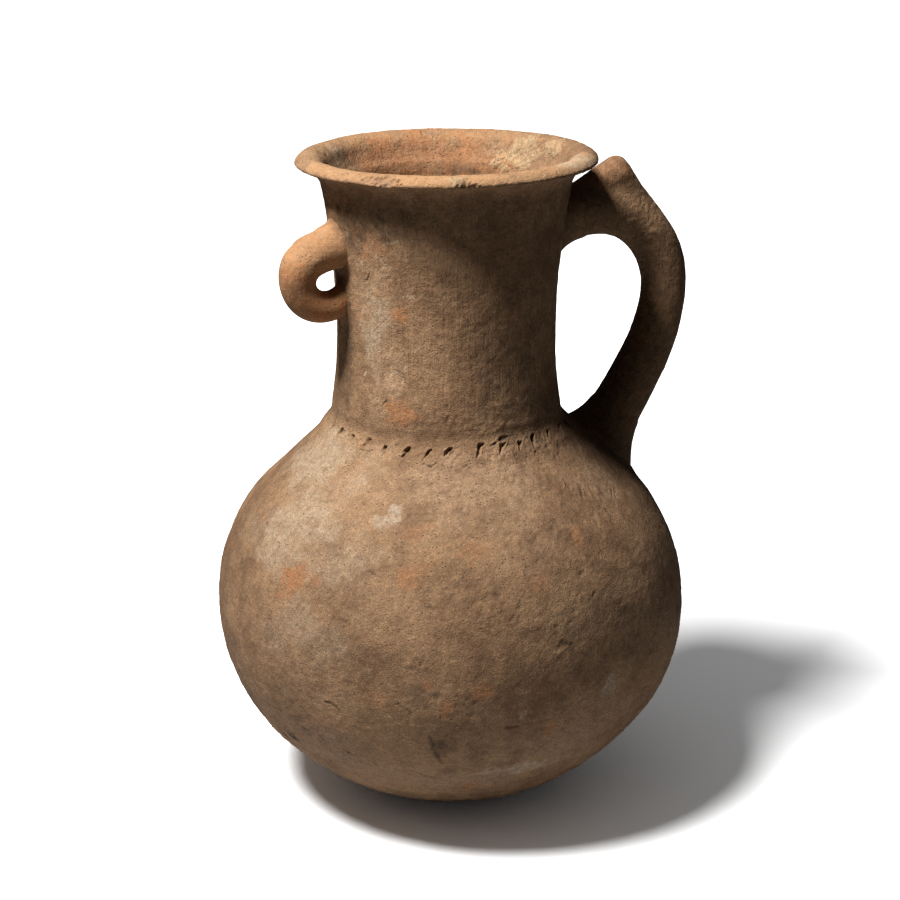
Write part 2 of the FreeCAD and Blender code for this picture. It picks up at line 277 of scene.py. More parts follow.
def curve_through(points, spacing):
    """Points of a smooth curve through the given ones.

    The spacing is a length, or a function of the last point.
    """
    points = np.asarray(points, float)
    steps = np.linalg.norm(np.diff(points, axis=0), axis=1)
    way = np.concatenate([[0], np.cumsum(steps)])
    slopes = np.gradient(points, way, axis=0)
    gap = spacing if callable(spacing) else lambda point: spacing
    found = [points[0]]
    distance = 0.0
    while True:
        distance += gap(found[-1])
        if distance >= way[-1] - 0.5 * gap(found[-1]):
            break
        index = int(np.searchsorted(way, distance) - 1)
        stretch = way[index + 1] - way[index]
        t = (distance - way[index]) / stretch
        start, end = points[index], points[index + 1]
        first, last = slopes[index] * stretch, slopes[index + 1] * stretch
        found.append((2 * t**3 - 3 * t**2 + 1) * start + (t**3 - 2 * t**2 + t) * first
                     + (3 * t**2 - 2 * t**3) * end + (t**3 - t**2) * last)
    return np.array(found + [points[-1]])


def distance_to_line(points, line):
    """How far each point lies from a broken line."""
    starts, ways = line[:-1], np.diff(line, axis=0)
    offset = points[:, None] - starts[None]
    share = np.clip((offset * ways).sum(2) / (ways**2).sum(1), 0, 1)
    return np.linalg.norm(offset - share[..., None] * ways, axis=2).min(1)


band_points = np.array(sorted({point for edge in cut_edges("neck_luting_band") for point in edge},
                              key=lambda point: point[1]))
band_bottom, band_top = band_points[0], band_points[-1]
band_face = band_points[distance_to_line(band_points, outer_cut) > BAND_CLEARANCE]
below_band = outer_cut[outer_cut[:, 1] < band_bottom[1] - BAND_BLEND]
above_band = outer_cut[outer_cut[:, 1] > band_top[1] + BAND_BLEND]
outer_line = np.vstack([below_band, band_face, above_band])
print("band from", band_bottom / MM, "to", band_top / MM, "over", len(band_face), "points")

# %% [markdown]
# The wall is one sheet of rings: up the outside, over the lip and down the inside. Rings lie closer together
# where small marks need them, at the stabbed row and the lip. Later the sheet is divided among the lumps.

# %% Spacing of the rings
AROUND = 840
COARSER = 1.0
BODY_STEP = 0.66 * MM * COARSER
NECK_STEP = 0.56 * MM * COARSER
FINE_STEP = 0.36 * MM * COARSER
INSIDE_STEP = 3.0 * MM
FINE_MARGIN = 4.0 * MM
LIP_DEPTH = 12.0 * MM
MOUTH_DEPTH = 34.0 * MM
FLAT_SHARES = (0.1, 0.3, 0.5, 0.7, 0.85)
crest_height = section[crest][1]


def outer_step(point):
    height = point[1]
    at_band = band_bottom[1] - FINE_MARGIN < height < band_top[1] + FINE_MARGIN
    if at_band and point[0] < band_bottom[0] + FINE_MARGIN:
        return FINE_STEP
    if height > crest_height - LIP_DEPTH:
        return FINE_STEP
    return NECK_STEP if height > band_top[1] else BODY_STEP


def inner_step(point):
    if point[1] > crest_height - LIP_DEPTH:
        return FINE_STEP
    return NECK_STEP if point[1] > crest_height - MOUTH_DEPTH else INSIDE_STEP


def ring_near(point, stack):
    return int(np.argmin(np.linalg.norm(stack - point, axis=1)))


flat_radius = outer_cut[0][0]
flat_rings = np.array([[flat_radius * share, 0] for share in FLAT_SHARES])
outer_rings = np.vstack([flat_rings, curve_through(outer_line, outer_step)])
inner_rings = curve_through(inner_cut, inner_step)[1:-1]
rings = np.vstack([outer_rings, inner_rings])
crest_ring = len(outer_rings) - 1
print(len(outer_rings), "rings outside and", len(inner_rings), "inside,", AROUND, "points each")

# %% [markdown]
# No hand-built jug is true. The body of this one sits a little to one side of its neck, and the lip dips
# towards the scroll. One function leans every piece alike, so that they still meet.

# %% Lean the jug as its maker left it
BODY_LEAN = 1.5 * MM
LEAN_ENDS = (95 * MM, 150 * MM)
LIP_SLOPE = 0.009
SLOPE_STARTS = 190 * MM
right = np.array(to_the_right)


def eased(value, start, end):
    """0 before start and 1 after end, with a smooth way between."""
    share = np.clip((value - start) / (end - start), 0, 1)
    return share * share * (3 - 2 * share)


def leaning(points):
    points = points.copy()
    body = 1 - eased(points[..., 2], *LEAN_ENDS)
    lift = eased(points[..., 2], SLOPE_STARTS, crest_height) * (points @ right) * LIP_SLOPE
    points += body[..., None] * right * BODY_LEAN
    points[..., 2] += lift
    return points


turns = np.arange(AROUND) * 2 * math.pi / AROUND
wheel = np.stack([np.cos(turns), np.sin(turns)], axis=1)


def turned(section_points):
    """A grid of points, one row for each (radius, height), turned round the axis and leaning."""
    flat = section_points[:, None, 0, None] * wheel[None]
    heights = np.repeat(section_points[:, None, 1, None], AROUND, axis=1)
    return leaning(np.concatenate([flat, heights], axis=2))


def sheet_normals(grid):
    """The normal at each point of a grid of rings, from its neighbours along and around."""
    along = np.gradient(grid, axis=0)
    around = np.roll(grid, -1, axis=1) - np.roll(grid, 1, axis=1)
    normal = np.cross(around, along)
    return normal / np.maximum(np.linalg.norm(normal, axis=2, keepdims=True), 1e-12)


wall = turned(rings)
wall_normals = sheet_normals(wall)
print("wall", wall.shape, "points; top normal", wall_normals[crest_ring, 0].round(2))

# %% [markdown]
# Marks that the photograph shows are placed by its pixels. A ray from the camera through a pixel meets the
# leaning jug, and the mark is worked there, so it also looks right from every other side.

# %% Find a pixel's place on the jug
PIXELS_PER_UNIT = IMAGE_SIZE * LENS_LENGTH / SENSOR_WIDTH
camera_turn = Euler((CAMERA_TILT, 0, CAMERA_TURN)).to_matrix()


def bvh_of(grid):
    """A search tree over a grid of rings."""
    rows, columns = grid.shape[:2]
    index = np.arange(rows * columns).reshape(rows, columns)
    after = np.roll(index, -1, axis=1)
    faces = np.stack([index[:-1], after[:-1], after[1:], index[1:]], axis=-1).reshape(-1, 4)
    return BVHTree.FromPolygons(grid.reshape(-1, 3).tolist(), faces.tolist())


def tree_of(mesh):
    corners = [vert.co for vert in mesh.vertices]
    return BVHTree.FromPolygons(corners, [face.vertices for face in mesh.polygons])


all_trees = [bvh_of(wall)]


def on_photo(pixel, trees=all_trees):
    """The point of the jug that shows at a pixel of the photograph."""
    x, y = pixel
    half = IMAGE_SIZE / 2
    ray = camera_turn @ Vector(((x - half) / PIXELS_PER_UNIT, (half - y) / PIXELS_PER_UNIT, -1))
    hits = [tree.ray_cast(CAMERA_PLACE, ray.normalized()) for tree in trees]
    places = [hit for hit in hits if hit[0] is not None]
    if not places:
        raise ValueError(f"the jug does not show at pixel {pixel}")
    return np.array(min(places, key=lambda hit: hit[3])[0])


print("pixel (450, 600) lies at", (on_photo((450, 600)) / MM).round(1))

# %% [markdown]
# The handle and the scroll are rolls of clay that were pressed on to the wall. To let them run into it
# without a gap, copies of the frame's lumps are sunk a little where they touch the wall. The peak was pinched
# up out of the handle's roll, so a ridge of clay runs down from its tip on both sides. Each ridge is the
# tight hull round points of the tip and of the roll.

# %% Copies of the rolls, and the peak's ridges
SINK = 2.2 * MM
TOUCHING = 0.12 * MM
LEVEL = 0.5
RIDGES = (90 * MM, 53 * MM)
RIDGE_START = 10 * MM
RIDGE_FOOT = 4.5 * MM
RIDGE_HALF = 4.5 * MM

plain_section = np.vstack([outer_cut, inner_cut[1:]])
plain_flat = plain_section[:, None, 0, None] * wheel[None]
plain_wall = np.concatenate([plain_flat, np.repeat(plain_section[:, None, 1, None], AROUND, axis=1)], axis=2)
plain_tree = bvh_of(plain_wall[:crest_ring])


def sunk_copy(target, node):
    """Adds a node's mesh to target, with what touches the wall sunk into it."""
    source = bmesh.new()
    source.from_mesh(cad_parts[node].data)
    bmesh.ops.remove_doubles(source, verts=source.verts, dist=WELD)
    for vert in source.verts:
        near, normal, _, distance = plain_tree.find_nearest(vert.co)
        if distance < TOUCHING:
            inward = Vector((-near.x, -near.y, 0)).normalized()
            downward = -normal * math.copysign(1, normal.z)
            vert.co += (inward if abs(normal.z) < LEVEL else downward) * SINK
    mesh = bpy.data.meshes.new("sunk")
    source.to_mesh(mesh)
    source.free()
    target.from_mesh(mesh)
    bpy.data.meshes.remove(mesh)


def points_of(node):
    return np.array([tuple(vert.co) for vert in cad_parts[node].data.vertices])


def add_ridge(target, reach):
    """Fills the hollow between the peak's tip and the roll's back at a reach from the axis."""
    tip, roll = points_of("thumb_peak"), points_of("handle_roll")
    top = tip[:, 2].max()
    middle = tip[tip[:, 2] > top - MM, 0].mean()
    side = math.copysign(1, reach - middle)
    upper = tip[(tip[:, 2] > top - RIDGE_START) & ((tip[:, 0] - middle) * side > -MM)]
    foot = roll[(np.abs(roll[:, 0] - reach) < RIDGE_FOOT) & (np.abs(roll[:, 1]) < RIDGE_HALF)]
    foot = foot[foot[:, 2] > foot[:, 2].max() - RIDGE_FOOT]
    corners = [target.verts.new(point) for point in np.vstack([upper, foot])]
    made = bmesh.ops.convex_hull(target, input=corners)
    spare = [part for part in made["geom_interior"] if isinstance(part, bmesh.types.BMVert)]
    bmesh.ops.delete(target, geom=spare, context="VERTS")
    print("ridge over", len(upper) + len(foot), "points")


print("bare wall of", len(plain_section), "rings to find what touches it")

# %% [markdown]
# Wet fingers smeared the rolls on, so nothing on them has a sharp edge. The copies are joined, filled with
# one skin of small voxels and smoothed. Subdivision surfaces would need clean loops, which smeared clay
# doesn't have. Where a finger ran over a crease, the skin is drawn smoother still.

# %% Skins of the handle and the scroll
SKIN_VOXEL = 0.65 * MM
SMOOTHING = 10
SOFTNESS = 0.5
PEAK_CREASES = {"outside": ((640, 200), 14 * MM), "inside": ((592, 186), 9 * MM)}
SCROLL_CREASES = {"top": ((303, 242), 9 * MM)}
ROUNDS = 70
PULL = 0.8
ZONE_CORE = 0.45


def skin(name, nodes, ridges=()):
    """One smooth leaning mesh over some nodes, as a scratch object."""
    joined = bmesh.new()
    for node in nodes:
        sunk_copy(joined, node)
    for reach in ridges:
        add_ridge(joined, reach)
    mesh = bpy.data.meshes.new(name)
    joined.to_mesh(mesh)
    joined.free()
    scratch = bpy.data.objects.new(name, mesh)
    bpy.context.scene.collection.objects.link(scratch)
    fill = scratch.modifiers.new("fill", "REMESH")
    fill.mode = "VOXEL"
    fill.voxel_size = SKIN_VOXEL
    soft = scratch.modifiers.new("soft", "SMOOTH")
    soft.factor = SOFTNESS
    soft.iterations = SMOOTHING
    bpy.context.view_layer.update()
    finished = scratch.evaluated_get(bpy.context.evaluated_depsgraph_get())
    result = bpy.data.meshes.new_from_object(finished)
    bpy.data.objects.remove(scratch)
    points = leaning(coordinates(result))
    result.vertices.foreach_set("co", points.ravel())
    result.update()
    print(name, len(result.vertices), "points in its skin")
    return result


def coordinates(mesh):
    points = np.empty(len(mesh.vertices) * 3)
    mesh.vertices.foreach_get("co", points)
    return points.reshape(-1, 3)


def relaxed(mesh, zones, rounds):
    """Draws the points in some zones towards their neighbours, as a wet finger does.

    A zone is a pixel and a radius.
    """
    ends = np.empty(len(mesh.edges) * 2, np.int32)
    mesh.edges.foreach_get("vertices", ends)
    ends = ends.reshape(-1, 2)
    ends = np.concatenate([ends, ends[:, ::-1]])
    points = coordinates(mesh)
    tree = tree_of(mesh)
    weight = np.zeros(len(points))
    for pixel, radius in zones:
        spread = np.linalg.norm(points - on_photo(pixel, [tree]), axis=1) / radius
        weight = np.maximum(weight, PULL * (1 - eased(spread, ZONE_CORE, 1.0)))
    count = np.bincount(ends[:, 0], minlength=len(points))
    for _ in range(rounds):
        sums = [np.bincount(ends[:, 0], points[ends[:, 1], axis], len(points)) for axis in range(3)]
        points += (np.stack(sums, axis=1) / count[:, None] - points) * weight[:, None]
    mesh.vertices.foreach_set("co", points.ravel())
    mesh.update()


HANDLE_NODES = ["handle_roll", "handle_top_luting", "handle_foot_luting"]
SCROLL_NODES = ["scroll_roll", "scroll_luting"]
roll, *smears = HANDLE_NODES
handle_skin = skin("handle", [roll, "thumb_peak", *smears], RIDGES)
scroll_skin = skin("scroll", SCROLL_NODES)
relaxed(handle_skin, PEAK_CREASES.values(), ROUNDS)
relaxed(scroll_skin, SCROLL_CREASES.values(), ROUNDS)
skin_trees = [tree_of(handle_skin), tree_of(scroll_skin)]
all_trees += skin_trees

# %% [markdown]
# Hand-shaped clay is uneven at every scale. A lattice of seeded random values, blended smoothly, gives
# swellings of any size, and round hollows at jittered places give the pits that burnt-out grit leaves.
# Both depend on the place alone, so they run on from one lump to the next.

# %% Random values that depend on a place
PRIMES = np.array([73856093, 19349663, 83492791, 2654435761], np.uint64)
SHIFT = np.uint64(15)
MIXER = np.uint64(2246822519)
MASK = np.uint64(0xFFFFFF)
HOLLOW_LEAST, HOLLOW_MORE = 0.16, 0.34
HOLLOW_STEEPNESS = 1.6


def random_at(cells, seed):
    """A random value from 0 to 1 for each cell of a lattice."""
    key = cells.astype(np.int64).view(np.uint64)
    value = key[..., 0] * PRIMES[0] ^ key[..., 1] * PRIMES[1] ^ key[..., 2] * PRIMES[2]
    value = value ^ (np.uint64(seed + 1) * PRIMES[3])
    value = (value ^ (value >> SHIFT)) * MIXER
    value = (value ^ (value >> SHIFT)) * PRIMES[3]
    return ((value ^ (value >> SHIFT)) & MASK) / float(MASK)


def swelling(points, size, seed):
    """Smooth random values from -1 to 1 that change over a distance of about size."""
    scaled = points / size
    cells = np.floor(scaled).astype(np.int64)
    share = scaled - cells
    share = share * share * (3 - 2 * share)
    total = np.zeros(points.shape[:-1])
    for corner in product((0, 1), repeat=3):
        weight = np.prod(np.where(corner, share, 1 - share), axis=-1)
        total += weight * random_at(cells + np.array(corner), seed)
    return total * 2 - 1


def hollows(points, size, share, seed):
    """Depths from 0 to 1 of round hollows. A share of the lattice's cells holds one."""
    cells = np.floor(points / size).astype(np.int64)
    deepest = np.zeros(points.shape[:-1])
    for step in product((-1, 0, 1), repeat=3):
        here = cells + np.array(step)
        middle = np.stack([random_at(here, seed + axis) for axis in (1, 2, 3)], axis=-1)
        radius = size * (HOLLOW_LEAST + HOLLOW_MORE * random_at(here, seed + 4))
        nearness = 1 - np.linalg.norm(points - (here + middle) * size, axis=-1) / radius
        depth = np.clip(nearness * HOLLOW_STEEPNESS, 0, 1) * (random_at(here, seed) < share)
        deepest = np.maximum(deepest, depth)
    return deepest


print("a pit is as deep as", hollows(wall[crest_ring // 2][:50], 6 * MM, 0.5, 3).max().round(2))

# %% [markdown]
# Old clay is never one colour. Each patch has its kind, the pixel of its middle, half its width and half its
# height in millimetres, and its strength. Film and pale are dust, and film also paints light on the neck's
# lit left side. Pink is scraped clay, warm is clean clay, and orange and white are stains; on the scroll's
# outer side and underside orange also paints warm shade. Soil is dark dirt, and it is also painted shade:
# under the lip, on the shaded right side of the neck and the belly, on the handle's shaded limb, on the
# scroll's shaded outer side, inside the mouth and in the scroll's shadow on the neck. Crust is a crumbly
# deposit. A chip is broken out of the lip, and rough and wheel only change the relief. Each kind fades out
# over its own share of the patch.

# %% Patches that the photograph shows
EDGES = {"film_and_light": 0.9, "pale": 0.9, "pink": 0.9, "orange": 0.5, "white": 0.35, "soil_and_shade": 0.6, "crust": 0.4,
         "rough": 0.5, "warm": 0.6, "chip": 0.16, "wheel": 0.6}
PATCHES = {
    "shoulder_left": ("film_and_light", (320, 458), 30, 16, 1.0),
    "cheek_left": ("film_and_light", (285, 528), 30, 20, 0.85),
    "cheek_middle": ("film_and_light", (345, 560), 20, 14, 0.5),
    "belly_left": ("film_and_light", (300, 630), 24, 16, 0.5),
    "shoulder_middle": ("pale", (450, 490), 46, 14, 0.8),
    # painted light: film here also brightens the neck's lit left side
    "neck_left_painted_light": ("film_and_light", (374, 325), 9, 24, 0.9),
    "neck_left_low": ("pale", (388, 385), 13, 20, 0.9),
    "low_left_film": ("pale", (300, 690), 26, 14, 0.4),
    "lip_right_film": ("film_and_light", (575, 160), 18, 5, 1.0),
    "lip_left_film": ("film_and_light", (335, 155), 14, 4, 0.6),
    "shoulder_right": ("pale", (600, 480), 16, 12, 0.6),
    "belly_rim": ("pale", (655, 570), 8, 18, 0.5),
    "low_left": ("pink", (320, 745), 36, 14, 0.9),
    "low_middle": ("pink", (440, 780), 40, 10, 0.8),
    "low_right": ("pink", (590, 730), 36, 14, 0.8),
    "belly_edge": ("pink", (668, 615), 8, 16, 0.8),
    "cheek_orange": ("orange", (296, 577), 7, 6, 1.0),
    "cheek_tail": ("orange", (283, 593), 5, 4, 0.55),
    "cheek_side": ("orange", (316, 582), 3, 3, 0.5),
    "middle_orange": ("orange", (409, 578), 4.5, 6, 0.7),
    "middle_ochre": ("orange", (421, 569), 8, 7, 0.35),
    "small_top": ("orange", (428, 528), 2.5, 2.5, 0.75),
    "beside_top": ("orange", (412, 535), 6, 3, 0.3),
    "faint_rose": ("orange", (473, 551), 7, 5, 0.35),
    "right_orange": ("orange", (577, 537), 4, 6, 0.6),
    "right_low": ("orange", (540, 583), 5, 4, 0.5),
    "low_small": ("orange", (428, 686), 3, 2.5, 0.8),
    "low_red": ("orange", (446, 711), 3, 5, 0.8),
    "low_brown": ("orange", (484, 694), 5, 3.5, 0.7),
    "low_side": ("orange", (541, 690), 3.5, 2.5, 0.6),
    "low_right_red": ("orange", (550, 730), 3, 4, 0.9),
    "low_left_orange": ("orange", (376, 698), 5, 4, 0.35),
    "foot_orange": ("orange", (470, 785), 7, 3, 0.4),
    "neck_spot": ("orange", (400, 315), 3.8, 3.8, 0.9),
    "above_row": ("orange", (402, 414), 8, 5, 0.9),
    "neck_upper": ("orange", (364, 240), 12, 8, 0.5),
    "peak_tone": ("orange", (610, 168), 10, 9, 0.9),
    # painted warm shade: the scroll's shaded outer side and underside, in orange and soil
    "scroll_side_and_shade": ("orange", (288, 292), 11, 14, 1.0),
    "scroll_under_shade": ("orange", (320, 312), 12, 7, 1.0),
    "scroll_dust_and_shade": ("soil_and_shade", (286, 298), 9, 12, 0.45),
    "mouth_spot": ("orange", (470, 156), 4, 3, 0.9),
    "mouth_second": ("orange", (452, 152), 4, 3, 0.55),
    "mouth_floor": ("orange", (430, 156), 38, 11, 0.9),
    "white_blotch": ("white", (396, 514), 3.6, 4.6, 0.8),
    "white_beside": ("white", (382, 523), 5, 2.5, 0.4),
    "white_low_right": ("white", (611, 684), 5, 6, 0.45),
    "white_lump": ("white", (524, 714), 1.8, 1.8, 0.8),
    "white_smear": ("white", (520, 768), 16, 3.5, 0.45),
    "smudge_low": ("soil_and_shade", (437, 748), 3.5, 6, 0.85),
    "smudge_side": ("soil_and_shade", (416, 697), 7, 5, 0.55),
    "smudge_left": ("soil_and_shade", (345, 655), 20, 9, 0.25),
    "pitted_edge": ("soil_and_shade", (290, 733), 4, 4, 0.9),
    "pitted_beside": ("soil_and_shade", (307, 731), 3, 3, 0.6),
    # painted shade: the belly's shaded right side
    "belly_right_shade": ("soil_and_shade", (600, 625), 22, 18, 0.35),
    "belly_middle_shade": ("soil_and_shade", (548, 560), 20, 20, 0.25),
    # painted shade: the neck's shaded right side
    "neck_shade": ("soil_and_shade", (512, 385), 16, 34, 0.4),
    # painted shade inside the mouth
    "mouth_painted_shade": ("soil_and_shade", (425, 154), 34, 10, 0.3),
    # painted shade: the lip's shadow on the neck
    "under_lip_painted_shade": ("soil_and_shade", (430, 215), 46, 8, 0.3),
    "lip_shadow_left_painted": ("soil_and_shade", (358, 226), 16, 11, 0.8),
    # painted shade: the handle's shaded limb
    "handle_painted_shade": ("soil_and_shade", (652, 310), 14, 48, 0.6),
    "peak_dust": ("soil_and_shade", (610, 162), 10, 10, 0.7),
    "mouth_crust": ("crust", (524, 154), 12, 6.5, 1.0),
    "mouth_crust_end": ("crust", (552, 148), 7, 4, 0.8),
    "mouth_crust_start": ("crust", (500, 163), 6, 4, 0.8),
    "lip_crust": ("crust", (458, 182), 4.2, 2.4, 1.0),
    # painted shadow: the scroll's shadow on the neck
    "scroll_cast_shadow": ("soil_and_shade", (350, 362), 4, 24, 0.6),
    "mouth_soot": ("soil_and_shade", (346, 160), 11, 5, 0.45),
    "lip_dirt": ("soil_and_shade", (456, 182), 3, 2, 0.7),
    "handle_soil": ("rough", (640, 212), 11, 13, 1.0),
    "pitted_relief": ("rough", (293, 735), 7, 6, 1.2),
    "above_row_relief": ("rough", (408, 417), 9, 5, 0.7),
    "above_row_second": ("rough", (444, 420), 5, 4, 0.9),
    "belly_grit": ("rough", (485, 610), 11, 6, 0.9),
    "belly_pits": ("rough", (418, 662), 5, 4, 0.8),
    "scratched": ("rough", (592, 490), 10, 7, 0.7),
    "lip_left": ("rough", (305, 167), 4.5, 3, 0.8),
    "neck_rough": ("rough", (463, 297), 4, 3, 0.5),
    "row_rough_left": ("rough", (345, 436), 10, 3, 0.5),
    "row_rough_middle": ("rough", (402, 452), 14, 3.5, 0.6),
    "row_rough_second": ("rough", (450, 455), 14, 4, 0.8),
    "row_rough_third": ("rough", (500, 449), 14, 4, 0.9),
    "row_rough_right": ("rough", (540, 440), 10, 3.5, 0.7),
    "neck_grit": ("rough", (480, 425), 16, 5, 0.5),
    "lip_left_tone": ("warm", (330, 170), 22, 4, 0.7),
    "lip_right_tone": ("warm", (560, 165), 30, 5, 0.9),
    "lip_back_tone": ("warm", (430, 133), 60, 4, 0.7),
    "lip_front_tone": ("warm", (430, 181), 40, 4, 0.9),
    "lip_chip": ("chip", (383, 182), 5.5, 1.8, 1.0),
    "lip_chip_left": ("chip", (368, 181), 3.5, 1.2, 0.7),
    "lip_chip_back": ("chip", (433, 132), 5, 1.5, 0.6),
    "lip_chip_right": ("chip", (470, 187), 3, 1.2, 0.6),
    "mouth_wheel": ("wheel", (425, 162), 34, 12, 1.0),
}
patch_places = {name: on_photo(patch[1]) for name, patch in PATCHES.items()}
print(len(PATCHES), "patches; the first lies at", (patch_places["shoulder_left"] / MM).round(1))

# %% [markdown]
# Cracks, gouges and hair-thin scratches are lines. Each has its kind, its width in millimetres and the pixels
# that it runs through. A crack is deeper, its edges stand up a little, and its dark colour is painted shade
# inside it.

# %% Cracks and scratches that the photograph shows
STROKES = {
    "neck_scratch": ("scratch", 0.7, (371, 328), (380, 335)),
    "neck_hair": ("scratch", 0.6, (405, 365), (403, 380), (398, 394)),
    "neck_side": ("scratch", 0.7, (365, 302), (362, 313), (360, 325)),
    "neck_top": ("scratch", 0.6, (392, 270), (378, 258), (372, 250)),
    "neck_fine": ("scratch", 0.6, (388, 377), (396, 372), (402, 375)),
    "neck_chip_edge": ("scratch", 0.8, (361, 282), (363, 288)),
    "neck_low": ("scratch", 0.6, (366, 369), (362, 384)),
    "neck_cross": ("scratch", 0.6, (376, 300), (384, 308), (390, 311)),
    "hair_first": ("scratch", 0.6, (358, 240), (365, 250)),
    "hair_second": ("scratch", 0.7, (361, 258), (364, 272), (361, 286)),
    "hair_third": ("scratch", 0.5, (370, 246), (378, 234)),
    "hair_fourth": ("scratch", 0.6, (382, 266), (392, 269)),
    "hair_fifth": ("scratch", 0.5, (382, 244), (398, 242)),
    "hair_sixth": ("scratch", 0.6, (390, 300), (382, 312)),
    "hair_seventh": ("scratch", 0.6, (398, 298), (414, 296)),
    "hair_eighth": ("scratch", 0.6, (434, 290), (446, 300)),
    "hair_ninth": ("scratch", 0.6, (414, 350), (428, 344)),
    "hair_tenth": ("scratch", 0.6, (440, 372), (446, 358)),
    "below_row": ("scratch", 0.9, (445, 447), (449, 459)),
    "gouge_edge": ("scratch", 1.0, (609, 479), (617, 487), (616, 504)),
    "low_pale": ("scratch", 1.3, (581, 698), (589, 692)),
    "neck_crack": ("crack", 1.0, (370, 274), (367, 282)),
    "neck_slant": ("crack", 0.7, (387, 399), (378, 411)),
    "row_crack": ("crack", 0.9, (493, 444), (501, 438), (512, 436)),
    "row_left": ("crack", 0.8, (360, 449), (366, 452), (371, 450)),
    "row_middle": ("crack", 0.8, (424, 465), (431, 467), (436, 463)),
    "row_second": ("crack", 0.7, (450, 467), (459, 468), (467, 466)),
    "above_row_crack": ("crack", 0.8, (442, 404), (449, 407)),
    "gouge_first": ("crack", 1.3, (563, 479), (567, 486), (571, 489)),
    "gouge_second": ("crack", 1.4, (581, 489), (583, 496)),
    "gouge_third": ("crack", 1.2, (600, 507), (607, 510), (612, 516)),
    "gouge_fourth": ("crack", 0.9, (613, 487), (613, 500)),
    "shoulder_nick": ("crack", 0.9, (465, 494), (472, 491)),
    "cheek_nick": ("crack", 0.9, (335, 500), (328, 502)),
    "cheek_hook": ("crack", 0.9, (366, 572), (371, 571), (376, 576)),
    "middle_nick": ("crack", 0.8, (460, 538), (467, 539)),
    "belly_line": ("crack", 0.7, (303, 609), (300, 617), (296, 626)),
    "belly_hook": ("crack", 0.7, (330, 618), (341, 620), (350, 625)),
    "belly_drop": ("crack", 0.6, (331, 619), (331, 630)),
    "belly_pit": ("crack", 1.6, (418, 660), (421, 667)),
    "low_scrape": ("crack", 1.0, (325, 702), (333, 706), (340, 711)),
    "low_scrape_second": ("crack", 1.1, (398, 704), (405, 709), (412, 714)),
    "foot_crack": ("crack", 1.1, (430, 736), (434, 748), (440, 760), (446, 763)),
    "foot_branch": ("crack", 0.7, (443, 737), (450, 731), (458, 726)),
    "edge_pits": ("crack", 1.8, (281, 729), (287, 737), (295, 746)),
    "edge_nick": ("crack", 1.2, (304, 728), (309, 731)),
    "edge_second": ("crack", 0.9, (318, 733), (324, 738)),
    "low_nick": ("crack", 0.9, (346, 751), (354, 754)),
    "foot_line": ("crack", 0.8, (410, 770), (420, 772), (430, 776)),
    "right_nick": ("crack", 1.2, (561, 642), (570, 645)),
    "right_small": ("crack", 0.9, (512, 620), (520, 620)),
    "low_right_crack": ("crack", 0.9, (504, 727), (514, 727), (524, 725)),
    "tiny_hole": ("crack", 1.5, (265, 522), (266, 522)),
}
stroke_places = {name: np.array([on_photo(pixel) for pixel in pixels])
                 for name, (_, _, *pixels) in STROKES.items()}
print(len(STROKES), "lines, through", sum(len(line) for line in stroke_places.values()), "places")

# %% [markdown]
# Every patch and line is now painted on the points around its place. Random values push its edge in and out,
# so that nothing looks stamped, and a line fades and comes back as a real scratch does.

# %% Paint the marks on the clay
PATCH_REACH = 1.9
PATCH_RAGGED = ((0.6, 1.0, 300), (0.22, 0.6, 400))
RAGGEDNESS = 0.45
STROKE_DEPTHS = {"scratch": 0.08, "crack": 0.40}
STROKE_WIDTH = 0.75
STROKE_MARGIN = 3
STROKE_EDGE = 1.5
BEND_SIZE, BEND, BEND_SEED = 2.2 * MM, 0.55 * MM, 90
THICK_SIZE, THICK, THICK_SEED = 1.4 * MM, 0.6, 95
BREAK_SIZE, BREAK_LEVEL, BREAK, BREAK_LEAST, BREAK_SEED = 2.6 * MM, 0.75, 0.9, 0.1, 97
BURR = 0.12
BURR_REACH = 0.6


def warped(points, size, amount, seed):
    """The points, each moved at random by up to amount, so that what is drawn with them comes out ragged."""
    return points + amount * np.stack([swelling(points, size, seed + axis) for axis in range(3)], axis=-1)


def paint_patches(flat, strengths):
    for index, (name, (kind, _, wide, tall, strength)) in enumerate(PATCHES.items()):
        offset = (flat - patch_places[name]) / MM
        spread = np.sqrt((offset[:, :2]**2).sum(1) / wide**2 + (offset[:, 2] / tall)**2)
        near = np.nonzero(spread < PATCH_REACH)[0]
        size = min(wide, tall) * MM
        ragged = sum(amount * swelling(flat[near], share * size, seed + index)
                     for share, amount, seed in PATCH_RAGGED)
        cover = eased(1 - spread[near] + RAGGEDNESS * ragged, 0, EDGES[kind]) * strength
        strengths[kind][near] = np.maximum(strengths[kind][near], cover)


def paint_strokes(flat, strengths):
    for name, (kind, width, *_) in STROKES.items():
        line = stroke_places[name]
        margin = STROKE_MARGIN * width * MM
        near = np.nonzero(((flat > line.min(0) - margin) & (flat < line.max(0) + margin)).all(axis=1))[0]
        if not len(near):
            continue
        around = flat[near]
        distance = distance_to_line(warped(around, BEND_SIZE, BEND, BEND_SEED), line)
        distance /= width * STROKE_WIDTH * MM
        distance *= 1 + THICK * swelling(around, THICK_SIZE, THICK_SEED)
        broken = np.clip(BREAK_LEVEL + BREAK * swelling(around, BREAK_SIZE, BREAK_SEED), BREAK_LEAST, 1)
        cover = np.clip(STROKE_EDGE - 2 * distance, 0, 1) * broken
        strengths[kind][near] = np.maximum(strengths[kind][near], cover)
        edge = np.clip(1 - np.abs(distance - 1) / BURR_REACH, 0, 1) * (kind == "crack")
        strengths["burr"][near] = np.maximum(strengths["burr"][near], edge)


